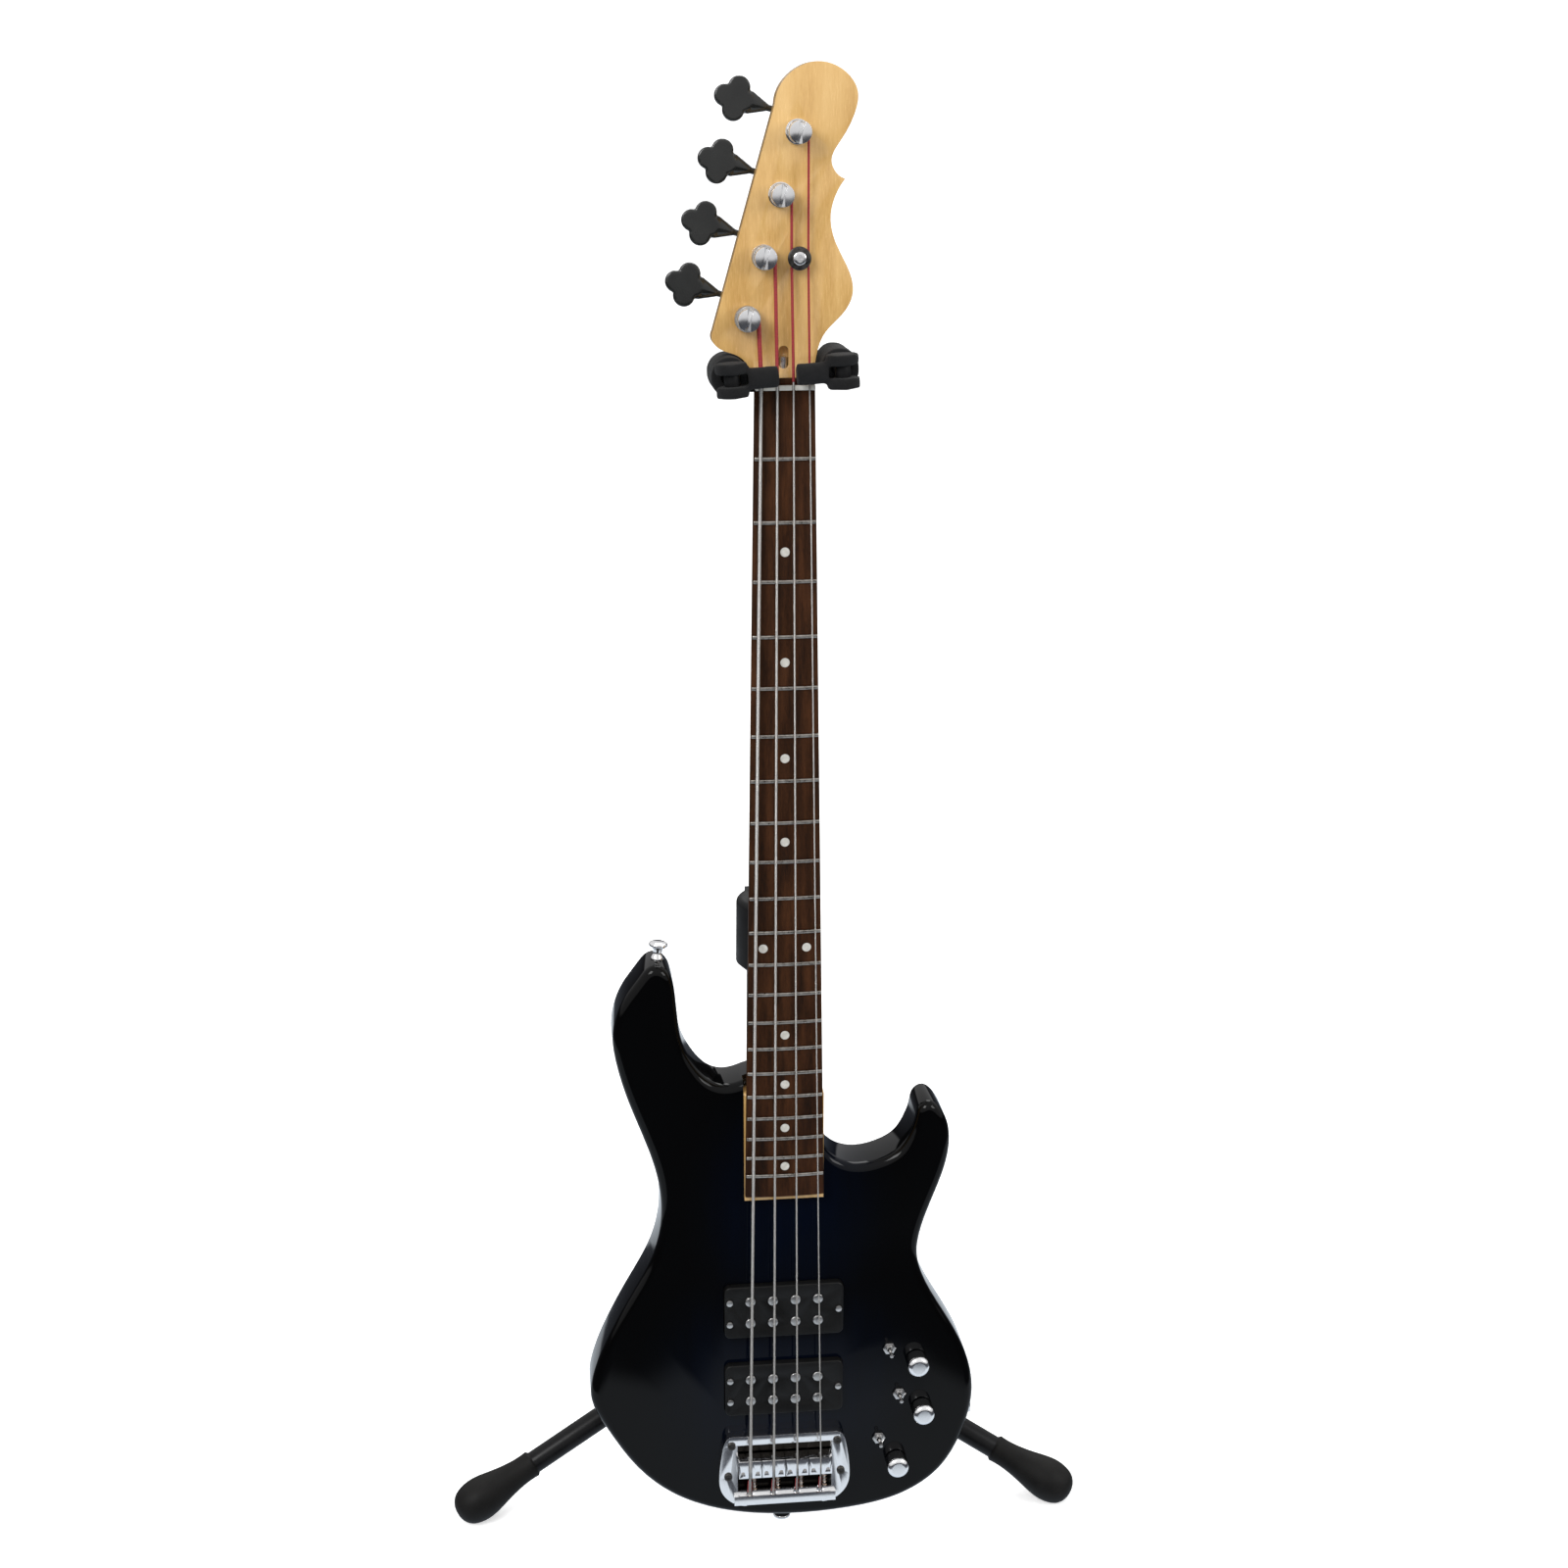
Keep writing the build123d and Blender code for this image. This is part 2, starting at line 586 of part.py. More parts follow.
with BuildPart() as bridge_saddles:
    for x, radius in zip(saddle_xs, STRING_RADII):
        with BuildSketch(face.offset(4)):
            with Locations((x, -863)):
                Rectangle(18.4, 15)
        extrude(amount=SADDLE_STRING_Z - 4 + 0.8)
        with BuildSketch(crossing(x, -850, SADDLE_STRING_Z + radius, (0, -1, 0), (1, 0, 0))):
            Circle(radius + 0.15)
            with Locations((0, -4)):
                Rectangle(2 * radius + 0.3, 8)
        extrude(amount=30, mode=Mode.SUBTRACT)
        with BuildSketch(face.offset(3)):
            with Locations((x - 6, -866), (x + 6, -866)):
                Circle(1.5)
        extrude(amount=20, mode=Mode.SUBTRACT)
        with BuildSketch(crossing(x + 4.2, -860, 5, (0, -1, 0), (1, 0, 0))):
            Circle(1.3)
        extrude(amount=12, mode=Mode.SUBTRACT)
save(bridge_saddles.part, "bridge_saddles")

with BuildPart() as saddle_screws:
    for x in saddle_xs:
        with BuildSketch(face.offset(2.5)):
            with Locations((x - 6, -866), (x + 6, -866)):
                Circle(1.4)
        extrude(amount=SADDLE_STRING_Z - 4)
        with BuildSketch(crossing(x + 4.2, -868, 5, (0, -1, 0), (1, 0, 0))):
            Circle(1.2)
        extrude(amount=38)
save(saddle_screws.part, "saddle_screws")


def dome_screws(places, shank, head, low, high):
    """Screws with round heads whose undersides lie at `high`."""
    with BuildPart() as screws:
        with BuildSketch(face.offset(low)):
            with Locations(*places):
                Circle(shank)
        extrude(amount=high - low)
        with BuildSketch(face.offset(high)):
            with Locations(*places):
                Circle(head)
        extrude(amount=1.6)
    return screws.part


save(dome_screws(bridge_screw_places, 1.8, 3.2, 0, 9.0), "bridge_screws")
pickup_screws = dome_screws(pickup_screw_places, 1.6, 2.6, PICKUP_FOOT + 1, PICKUP_TOP)

# ---------------------------------------------------------------- controls
for label, place in KNOBS.items():
    with BuildPart() as knob:
        with BuildSketch(face.offset(1.0)):
            with Locations(place):
                Circle(KNOB_RADIUS)
        extrude(amount=KNOB_HEIGHT)
        fillet(knob.edges().group_by(Axis(at(0, 0), toward(0, 0, 1)))[-1], radius=4)
        with BuildSketch(face.offset(-9)):
            with Locations(place):
                Circle(3.0)
        extrude(amount=12)
    save(knob.part, label)

with BuildPart() as potentiometers:
    with BuildSketch(face.offset(-24)):
        with Locations(*KNOBS.values()):
            Circle(11.0)
    extrude(amount=24 - FACE_SKIN - GAP)
    with BuildSketch(face.offset(-12)):
        with Locations(*KNOBS.values()):
            Circle(4.6)
    extrude(amount=12)
    with BuildSketch(face.offset(-18)):
        with Locations(*KNOBS.values()):
            Circle(3.0 + RUNNING)
    extrude(amount=20, mode=Mode.SUBTRACT)
save(potentiometers.part, "potentiometers")

toggle_pivot_z, toggle_ball, toggle_bore = 1.0, 1.6, 2.0
with BuildPart() as toggle_bodies:
    with BuildSketch(face.offset(-20)):
        with Locations(*TOGGLES.values()):
            Rectangle(8, 12)
    extrude(amount=20 - FACE_SKIN - GAP)
    with BuildSketch(face.offset(-10)):
        with Locations(*TOGGLES.values()):
            Circle(3.0)
    extrude(amount=13.5)
    with BuildSketch(face):
        with Locations(*TOGGLES.values()):
            RegularPolygon(5.4, 6)
    extrude(amount=2.2)
    with BuildSketch(face.offset(-3)):
        with Locations(*TOGGLES.values()):
            Circle(toggle_bore)
    extrude(amount=10, mode=Mode.SUBTRACT)
save(toggle_bodies.part, "toggle_bodies")

for label, place in TOGGLES.items():
    with BuildPart() as lever:
        # a bat that widens to its tip, rocking in the bushing
        with BuildSketch(face.offset(toggle_pivot_z)) as root:
            with Locations(place):
                Circle(0.9)
        with BuildSketch(face.offset(toggle_pivot_z + 11)) as tip:
            with Locations(place):
                Circle(1.5)
        loft(sections=[root.sketch, tip.sketch])
        with BuildSketch(face.offset(toggle_pivot_z - 2)):
            with Locations(place):
                Circle(0.9)
        extrude(amount=2)
        # the pin it rocks on
        with BuildSketch(crossing(place[0] - 1.7, place[1], toggle_pivot_z, (1, 0, 0), (0, 1, 0))):
            Circle(0.8)
        extrude(amount=3.4)
    save(lever.part, f"{label}_lever")

with BuildPart() as control_cover:
    with BuildSketch(face.offset(-BODY_DEPTH)):
        with Locations(cavity_middle):
            offset(round_box(*cavity_size, cavity_corner), amount=cavity_rim - GAP, mode=Mode.ADD)
    extrude(amount=2.4)
    cover_screw_places = [
        (cavity_middle[0] + side * (cavity_size[0] / 2 + 3.4), cavity_middle[1] + end * 24)
        for side in (-1, 1) for end in (-1, 1)
    ]
    with BuildSketch(face.offset(-BODY_DEPTH)):
        with Locations(*cover_screw_places):
            Circle(1.6)
    extrude(amount=5, mode=Mode.SUBTRACT)
    # countersinks, so that the heads lie flush
    with BuildSketch(face.offset(-BODY_DEPTH)):
        with Locations(*cover_screw_places):
            Circle(3.0)
    extrude(amount=1.5, mode=Mode.SUBTRACT)
save(control_cover.part, "control_cover")

with BuildPart() as battery:
    with BuildSketch(face.offset(-41)):
        with Locations((76, -844)):
            Rectangle(26.5, 48)
    extrude(amount=17)
save(battery.part, "battery")

with BuildPart() as circuit_board:
    with BuildSketch(face.offset(-36)):
        with Locations((98, -796)):
            Rectangle(44, 44)
    extrude(amount=1.6)
    for x, y, size, high in ((90, -783, 9, 6), (110, -800, 12, 4), (108, -782, 7, 8), (90, -806, 6, 7)):
        with BuildSketch(face.offset(-36)):
            with Locations((x, y)):
                Rectangle(size, size)
        extrude(amount=1.6 + high)
save(circuit_board.part, "circuit_board")

with BuildPart() as output_jack:
    with BuildSketch(crossing(jack_inside, JACK_Y, JACK_Z, (1, 0, 0), (0, 1, 0))):
        Circle(6.0)
        Circle(JACK_BORE, mode=Mode.SUBTRACT)
    extrude(amount=JACK_FACE - jack_inside)
    with BuildSketch(crossing(JACK_FACE, JACK_Y, JACK_Z, (1, 0, 0), (0, 1, 0))):
        RegularPolygon(8.5, 6)
        Circle(JACK_BORE, mode=Mode.SUBTRACT)
    extrude(amount=jack_nut)
save(output_jack.part, "output_jack")

strap_spots = [((-95, -435.2, -22), (0.1, 0.99, 0)), ((1, -919.2, -22), (0, -1, 0))]
with BuildPart() as strap_buttons:
    for spot, way in strap_spots:
        base = crossing(*spot, way, (0, 0, 1))
        profile = [(0, 0), (5.5, 0), (3.4, 4.5), (4.0, 8.5), (7.2, 10), (7.2, 12.2), (5.5, 13), (0, 13)]
        side = Plane(origin=base.origin, x_dir=base.x_dir, z_dir=base.x_dir.cross(base.z_dir))
        with BuildSketch(side):
            with BuildLine():
                Polyline(*profile, close=True)
            make_face()
        revolve(axis=Axis(base.origin, base.z_dir))
save(strap_buttons.part, "strap_buttons")

small_screw_places = [beside(post, 2 + out, 3 + up) for post in posts for out in (-14, 14) for up in (-11,)]
with BuildPart() as small_screws:
    add(pickup_screws)
    with BuildSketch(face.offset(head_back - 3.4)):
        with Locations(*small_screw_places):
            Circle(2.4)
    extrude(amount=1.4)
    with BuildSketch(face.offset(-BODY_DEPTH)):
        with Locations(*cover_screw_places):
            Circle(2.8)
    extrude(amount=1.4)
    with BuildSketch(face.offset(-BODY_DEPTH)):
        with Locations(*cover_screw_places):
            Circle(1.5)
    extrude(amount=2.3)
save(small_screws.part, "small_screws")

# ---------------------------------------------------------------- stand: base
leg_turns = {
    "leg_left": -90 - FRONT_SPLAY - BASE_TURN,
    "leg_right": -90 + FRONT_SPLAY - BASE_TURN,
    "leg_rear": 90 - BASE_TURN,
}
leg_drop = atan2(HUB_Z - FOOT_Z, LEG_SPREAD - LEG_PIVOT)
leg_length = sqrt((HUB_Z - FOOT_Z) ** 2 + (LEG_SPREAD - LEG_PIVOT) ** 2)
knuckle, cheek = 5.0, 4.0
hub_low, hub_high = HUB_Z - 20, HUB_Z + 26


def radial_plane(turn, out, height, drop=0.0):
    """Plane whose z runs out along a leg, `drop` below level; its x is level and across the leg."""
    level = Vector(cos(radians(turn)), sin(radians(turn)), 0)
    way = level * cos(drop) - Vector(0, 0, 1) * sin(drop)
    across = Vector(-level.Y, level.X, 0)
    return Plane(origin=Vector(0, MAST_Y, height) + level * out, x_dir=across, z_dir=way)


def across_plane(turn, out, height):
    """Plane square to a leg's pivot pin, through the pivot."""
    level = Vector(cos(radians(turn)), sin(radians(turn)), 0)
    across = Vector(-level.Y, level.X, 0)
    return Plane(origin=Vector(0, MAST_Y, height) + level * out, x_dir=level, z_dir=across)


with BuildPart() as leg_hub:
    with BuildSketch(mast_axis.offset(hub_low)):
        Circle(SLEEVE_RADIUS + 8)
    extrude(amount=hub_high - hub_low)
    for turn in leg_turns.values():
        for side in (-1, 1):
            with BuildSketch(across_plane(turn, LEG_PIVOT, HUB_Z).offset(side * (knuckle + GAP + cheek / 2))):
                Circle(9)
                with Locations((-10, 0)):
                    Rectangle(20, 18)
            extrude(amount=cheek / 2, both=True)
    with BuildSketch(mast_axis.offset(HUB_Z - 12)):
        Circle(SLEEVE_RADIUS)
    extrude(amount=60, mode=Mode.SUBTRACT)
    for turn in leg_turns.values():
        with BuildSketch(across_plane(turn, LEG_PIVOT, HUB_Z)):
            Circle(3.0)
        extrude(amount=30, both=True, mode=Mode.SUBTRACT)
        # room for the leg's knuckle
        with BuildSketch(across_plane(turn, LEG_PIVOT, HUB_Z)):
            Circle(10.5)
        extrude(amount=knuckle + GAP, both=True, mode=Mode.SUBTRACT)
save(leg_hub.part, "leg_hub")

with BuildPart() as leg_pins:
    for turn in leg_turns.values():
        with BuildSketch(across_plane(turn, LEG_PIVOT, HUB_Z)):
            Circle(3.0)
        extrude(amount=knuckle + GAP + cheek + 1.5, both=True)
save(leg_pins.part, "leg_pins")

tube_start = 20.0
for label, turn in leg_turns.items():
    along = radial_plane(turn, LEG_PIVOT, HUB_Z, leg_drop)
    with BuildPart() as leg:
        with BuildSketch(across_plane(turn, LEG_PIVOT, HUB_Z)):
            Circle(9)
        extrude(amount=knuckle, both=True)
        with BuildSketch(along):
            Rectangle(2 * knuckle, 16)
        extrude(amount=tube_start + 2)
        with BuildSketch(along.offset(tube_start)):
            Circle(LEG_RADIUS)
            Circle(LEG_RADIUS - TUBE_WALL, mode=Mode.SUBTRACT)
        extrude(amount=leg_length - tube_start - 4)
        with BuildSketch(across_plane(turn, LEG_PIVOT, HUB_Z)):
            Circle(3.0 + RUNNING)
        extrude(amount=20, both=True, mode=Mode.SUBTRACT)
    save(leg.part, label)

    with BuildPart() as foot:
        profile = [(LEG_RADIUS, -58), (11.5, -56), (12, -38), (15, -22), (FOOT_RADIUS, -6),
                   (FOOT_RADIUS - 0.8, 4), (13, 13), (6, 17.4), (0, 18)]
        end = along.offset(leg_length)
        section = Plane(origin=end.origin, x_dir=end.x_dir, z_dir=end.x_dir.cross(end.z_dir))
        with BuildSketch(section):
            with BuildLine():
                Line((LEG_RADIUS, -4), profile[0])
                Line(profile[0], profile[1])
                Spline(*profile[1:])
                Line(profile[-1], (0, -4))
                Line((0, -4), (LEG_RADIUS, -4))
            make_face()
        revolve(axis=Axis(end.origin, end.z_dir))
        split(bisect_by=Plane.XY, keep=Keep.TOP)
    save(foot.part, label.replace("leg", "foot"))

sleeve_low = HUB_Z - 12
with BuildPart() as lower_tube:
    with BuildSketch(mast_axis.offset(sleeve_low)):
        Circle(SLEEVE_RADIUS)
        Circle(SLEEVE_RADIUS - TUBE_WALL, mode=Mode.SUBTRACT)
    extrude(amount=CLUTCH_Z - sleeve_low)
save(lower_tube.part, "lower_tube")

# ---------------------------------------------------------------- stand: height clutch and mast
clutch_low, clutch_high, clutch_radius = CLUTCH_Z - 42, CLUTCH_Z + 20, 23.0
lever_pin = (MAST_Y + 29.5, clutch_high - 14)
with BuildPart() as clutch_body:
    with BuildSketch(mast_axis.offset(clutch_low)):
        Circle(clutch_radius)
    extrude(amount=clutch_high - clutch_low)
    fillet(clutch_body.edges().group_by(Axis.Z)[-1], radius=5)
    chamfer(clutch_body.edges().group_by(Axis.Z)[0], length=5)
    with BuildSketch(mast_axis.offset(clutch_low)):
        Circle(SLEEVE_RADIUS)
    extrude(amount=CLUTCH_Z - clutch_low, mode=Mode.SUBTRACT)
    with BuildSketch(mast_axis.offset(clutch_low)):
        Circle(MAST_RADIUS + RUNNING)
    extrude(amount=80, mode=Mode.SUBTRACT)
    # two ears for the lever's pin
    with BuildSketch(mast_axis.offset(clutch_high - 22)):
        for side in (-1, 1):
            with Locations((side * 11, 25)):
                Rectangle(4, 18)
    extrude(amount=16)
    with BuildSketch(Plane.YZ.offset(-20)):
        with Locations(lever_pin):
            Circle(2.0)
    extrude(amount=40, mode=Mode.SUBTRACT)
save(clutch_body.part, "clutch_body")

with BuildPart() as clutch_lever:
    with BuildSketch(Plane.YZ.offset(-8.6)):
        with Locations(lever_pin):
            Circle(3.4)
            with Locations((1.5, -22)):
                Rectangle(4, 40)
        with Locations((lever_pin[0] + 8.6, lever_pin[1] - 50)):
            Rectangle(4, 34, rotation=24)
    extrude(amount=17.2)
    with BuildSketch(Plane.YZ.offset(-13)):
        with Locations(lever_pin):
            Circle(2.0 - RUNNING)
    extrude(amount=26)
save(clutch_lever.part, "clutch_lever")

mast_low = CLUTCH_Z - 190
mast_high = NUT_Z + 24
with BuildPart() as upper_tube:
    with BuildSketch(mast_axis.offset(mast_low)):
        Circle(MAST_RADIUS)
        Circle(MAST_RADIUS - TUBE_WALL, mode=Mode.SUBTRACT)
    extrude(amount=mast_high - mast_low)
save(upper_tube.part, "upper_tube")

# ---------------------------------------------------------------- stand: backrest
rest_z = -BODY_DEPTH - BACKREST_RADIUS - GAP
rest = at(0, BACKREST_Y, rest_z)
rest_bar_radius = 5.0
with BuildPart() as backrest_bar:
    with BuildSketch(mast_axis.offset(rest.Z - 16)):
        Circle(SLEEVE_RADIUS + 6)
        Circle(SLEEVE_RADIUS, mode=Mode.SUBTRACT)
    extrude(amount=32)
    with BuildSketch(Plane(origin=(0, rest.Y, rest.Z), x_dir=(1, 0, 0), z_dir=(0, 1, 0))):
        round_box(16, 16, 4)
    extrude(amount=MAST_Y - SLEEVE_RADIUS - 1 - rest.Y)
    with BuildSketch(Plane(origin=(-78, rest.Y, rest.Z), x_dir=(0, 1, 0), z_dir=(1, 0, 0))):
        Circle(rest_bar_radius)
    extrude(amount=156)
save(backrest_bar.part, "backrest_bar")

with BuildPart() as backrest_pads:
    for start in (-80, 12):
        with BuildSketch(Plane(origin=(start, rest.Y, rest.Z), x_dir=(0, 1, 0), z_dir=(1, 0, 0))):
            Circle(BACKREST_RADIUS)
        extrude(amount=68)
        with BuildSketch(Plane(origin=(-78, rest.Y, rest.Z), x_dir=(0, 1, 0), z_dir=(1, 0, 0))):
            Circle(rest_bar_radius)
        extrude(amount=156, mode=Mode.SUBTRACT)
save(backrest_pads.part, "backrest_pads")

# ---------------------------------------------------------------- stand: yoke
tilt_x = (cos(radians(YOKE_TILT)), sin(radians(YOKE_TILT)))
yoke = Plane(origin=at(0, YOKE_Y), x_dir=toward(*tilt_x), z_dir=face.z_dir)


def on_yoke(x, y, z):
    return yoke.from_local_coords(Vector(x, y, z))


def yoke_crossing(x, y, z, normal, across):
    ways = [yoke.from_local_coords(Vector(*way)) - yoke.origin for way in (across, normal)]
    return Plane(origin=on_yoke(x, y, z), x_dir=ways[0], z_dir=ways[1])


housing_back, housing_front = -58.0, -32.0
swivel_radius, rod_radius = 6.0, 6.0
tongue, gate_pin = 4.0, 2.5
with BuildPart() as yoke_frame:
    with BuildSketch(yoke.offset(housing_back)):
        round_box(56, 34, 8)
    extrude(amount=housing_front - housing_back)
    with BuildSketch(yoke_crossing(-ARM_X - 9, 0, -42, (1, 0, 0), (0, 1, 0))):
        Circle(rod_radius + 2)
    extrude(amount=2 * ARM_X + 18)
    for side in (-1, 1):
        with BuildSketch(yoke.offset(-42)):
            with Locations((side * ARM_X, 0)):
                Circle(rod_radius)
        extrude(amount=GATE_Z - 16 + 42)
        with BuildSketch(yoke.offset(GATE_Z - 18)):
            with Locations((side * ARM_X, 0)):
                Rectangle(8.4, 2 * tongue)
        extrude(amount=18)
        with BuildSketch(yoke_crossing(side * ARM_X, 0, GATE_Z, (0, 1, 0), (1, 0, 0))):
            Circle(5.5)
        extrude(amount=tongue, both=True)
        with BuildSketch(yoke_crossing(side * ARM_X, 0, GATE_Z, (0, 1, 0), (1, 0, 0))):
            Circle(gate_pin + RUNNING)
        extrude(amount=20, both=True, mode=Mode.SUBTRACT)
    # swivel pin, out of the back
    with BuildSketch(yoke.offset(housing_back - 20)):
        Circle(swivel_radius)
    extrude(amount=20)
save(yoke_frame.part, "yoke_frame")

with BuildPart() as yoke_pads:
    for side in (-1, 1):
        with BuildSketch(yoke.offset(-30)):
            with Locations((side * ARM_X, 0)):
                Ellipse(ARM_HALF_WIDTH - 0.4, ARM_HALF_HEIGHT)
                Circle(rod_radius, mode=Mode.SUBTRACT)
        extrude(amount=GATE_Z - 13 + 30)
save(yoke_pads.part, "yoke_pads")

finger_radius, finger_end, knuckle_radius = 7.5, 6.5, 11.5
for label, side in (("gate_left", -1), ("gate_right", 1)):
    with BuildPart() as gate:
        with BuildSketch(yoke_crossing(side * ARM_X, 0, GATE_Z, (0, 1, 0), (1, 0, 0))):
            Circle(knuckle_radius)
        extrude(amount=12, both=True)
        with BuildSketch(yoke_crossing(side * ARM_X, 0, GATE_Z, (-side, 0, 0), (0, 1, 0))):
            Circle(finger_radius)
        extrude(amount=ARM_X - finger_end)
        # slot for the arm's tongue
        with BuildSketch(yoke_crossing(side * ARM_X, 0, GATE_Z, (0, 1, 0), (1, 0, 0))):
            Circle(knuckle_radius + 1)
        extrude(amount=tongue + GAP, both=True, mode=Mode.SUBTRACT)
        with BuildSketch(yoke_crossing(side * ARM_X, 0, GATE_Z, (0, 1, 0), (1, 0, 0))):
            Circle(gate_pin)
        extrude(amount=11, both=True)
    save(gate.part, label)

mount_front, mount_back = housing_back - 1.0, housing_back - 26
with BuildPart() as yoke_mount:
    with BuildSketch(face.offset(mount_back)):
        with Locations((0, YOKE_Y)):
            round_box(30, 30, 6)
    extrude(amount=mount_front - mount_back)
    with BuildSketch(mast_axis.offset(NUT_Z - 22)):
        Circle(MAST_RADIUS + 4)
    extrude(amount=50)
    with BuildSketch(mast_axis.offset(NUT_Z - 30)):
        Circle(MAST_RADIUS)
    extrude(amount=mast_high - NUT_Z + 30, mode=Mode.SUBTRACT)
    with BuildSketch(face.offset(mount_front - 20.5)):
        with Locations((0, YOKE_Y)):
            Circle(swivel_radius + RUNNING)
    extrude(amount=22, mode=Mode.SUBTRACT)
save(yoke_mount.part, "yoke_mount")
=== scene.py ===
"""Looks of a four-string bass guitar hanging on its tripod stand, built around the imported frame.

Metres, in the row frame. Small pieces of the guitar are placed in `guitar` coordinates, in
millimetres: x across the face, y up the neck from the nut, z out of the face.
"""
import json
import math

import bmesh
import bpy
from mathutils import Matrix, Vector


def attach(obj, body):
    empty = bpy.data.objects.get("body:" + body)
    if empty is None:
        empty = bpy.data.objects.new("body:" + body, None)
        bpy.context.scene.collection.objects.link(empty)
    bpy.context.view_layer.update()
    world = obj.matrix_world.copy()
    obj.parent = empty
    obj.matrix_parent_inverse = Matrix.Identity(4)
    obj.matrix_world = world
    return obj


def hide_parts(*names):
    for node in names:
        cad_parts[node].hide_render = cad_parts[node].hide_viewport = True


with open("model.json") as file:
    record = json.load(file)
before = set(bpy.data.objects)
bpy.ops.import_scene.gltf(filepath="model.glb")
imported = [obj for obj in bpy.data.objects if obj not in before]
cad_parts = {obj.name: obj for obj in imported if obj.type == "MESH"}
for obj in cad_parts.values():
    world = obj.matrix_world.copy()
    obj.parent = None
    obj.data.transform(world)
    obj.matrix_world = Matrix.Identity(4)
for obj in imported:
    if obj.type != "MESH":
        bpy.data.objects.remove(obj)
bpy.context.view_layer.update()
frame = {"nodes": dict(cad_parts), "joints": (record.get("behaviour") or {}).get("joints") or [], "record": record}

MM = 0.001

joints = {joint["name"]: joint for joint in frame["joints"]}
body_of_node = {
    node: body for body, nodes in frame["record"]["behaviour"]["bodies"].items() for node in nodes
}
slot_of_node = {part["node"]: part["material_slot"] for part in frame["record"]["subparts"]}

# ---------------------------------------------------------------- places on the guitar
LEAN = 6.0  # degrees that the guitar leans back
YOKE_UP, SWIVEL_BACK = 12.0, 68.0  # the yoke's swivel, up the neck and behind the face
BODY_DEPTH = 44.0
BODY_ROUND = 7.0  # radius of the rounded edge of the body
SECTION_LEVEL = 8 - BODY_DEPTH  # level at which the body's outline is taken
PICKUP_LENGTH = 45.0
POCKET_SIZE, POCKET_MIDDLE = (62.2, 112, 40), (0, -574.2, 6.0)
COVER_CORNER, CAVITY_CORNER, CAVITY_RIM = 40.8, 34, 13.4
WRAP_LEVEL, WRAP_OUT = 7.6, 6.5  # where a string leaves its post, over the face and off the post's axis
NUT_TOP = Vector((0, 6.0, 12.9))
RETAINER_UP, RETAINER_LEVEL = 90.6, 5.5
SCREW_BESIDE = 4.2  # each saddle's screw, beside its string
up = Vector(joints["guitar_lift"]["axis"])
out = Vector(joints["yoke_swivel"]["axis"])
across = up.cross(out)
nut_place = Vector(joints["yoke_swivel"]["pos_m"]) - up * YOKE_UP * MM + out * SWIVEL_BACK * MM
guitar_axes = Matrix((across, up, out)).transposed().to_4x4()
guitar = Matrix.Translation(nut_place) @ guitar_axes @ Matrix.Scale(MM, 4)
to_guitar = guitar.inverted()


def place(x, y, z=0.0):
    return guitar @ Vector((x, y, z))


def node_span(node):
    """Lowest and highest corner of a CAD node, in guitar millimetres."""
    spots = [to_guitar @ vertex.co for vertex in frame["nodes"][node].data.vertices]
    return (Vector([min(s[i] for s in spots) for i in range(3)]),
            Vector([max(s[i] for s in spots) for i in range(3)]))


def pickup_spans():
    """Low and high y of each pickup, in guitar millimetres."""
    low, high = node_span("pickup_covers")
    return [(low.y, low.y + PICKUP_LENGTH), (high.y - PICKUP_LENGTH, high.y)]


posts = [to_guitar @ Vector(joints[f"post_{n}_turn"]["pos_m"]) for n in (1, 2, 3, 4)]
SADDLE_PITCH = 19.05
saddle_xs = [(n - 1.5) * SADDLE_PITCH for n in range(4)]
nut_xs = (-17.2, -5.75, 5.75, 17.2)
string_radii = (1.30, 1.00, 0.75, 0.55)

# ---------------------------------------------------------------- shader node groups


def new_group(name, inputs, outputs):
    """Empty shader group with float inputs {name: default} and outputs {name: socket type}."""
    group = bpy.data.node_groups.new(name, "ShaderNodeTree")
    for label, default in inputs.items():
        socket = group.interface.new_socket(label, in_out="INPUT", socket_type="NodeSocketFloat")
        socket.default_value = default
    for label, kind in outputs.items():
        group.interface.new_socket(label, in_out="OUTPUT", socket_type=kind)
    return group, group.nodes.new("NodeGroupInput"), group.nodes.new("NodeGroupOutput")


def noise_in(tree, vector, scale, detail=4.0, rough=0.55):
    node = tree.nodes.new("ShaderNodeTexNoise")
    node.inputs["Detail"].default_value = detail
    node.inputs["Roughness"].default_value = rough
    tree.links.new(vector, node.inputs["Vector"])
    if isinstance(scale, (int, float)):
        node.inputs["Scale"].default_value = scale
    else:
        tree.links.new(scale, node.inputs["Scale"])
    return node.outputs["Fac"]


def math_in(tree, operation, *values, clamp=False):
    node = tree.nodes.new("ShaderNodeMath")
    node.operation, node.use_clamp = operation, clamp
    for socket, value in zip(node.inputs, values):
        if isinstance(value, (int, float)):
            socket.default_value = value
        else:
            tree.links.new(value, socket)
    return node.outputs[0]


def smudge_group():
    """Soft cloudy mask with fine specks in it, as handling and dust leave on a surface."""
    group, entry, exit_node = new_group(
        "smudges", {"Scale": 40.0, "Speckle": 0.3}, {"Mask": "NodeSocketFloat"}
    )
    coordinates = group.nodes.new("ShaderNodeTexCoord").outputs["Object"]
    cloud = noise_in(group, coordinates, entry.outputs["Scale"], 5.0)
    fine_scale = math_in(group, "MULTIPLY", entry.outputs["Scale"], 22.0)
    fine = noise_in(group, coordinates, fine_scale, 2.0)
    specks = math_in(group, "MULTIPLY", fine, entry.outputs["Speckle"])
    total = math_in(group, "ADD", cloud, specks)
    group.links.new(math_in(group, "SUBTRACT", total, 0.25, clamp=True), exit_node.inputs["Mask"])
    return group


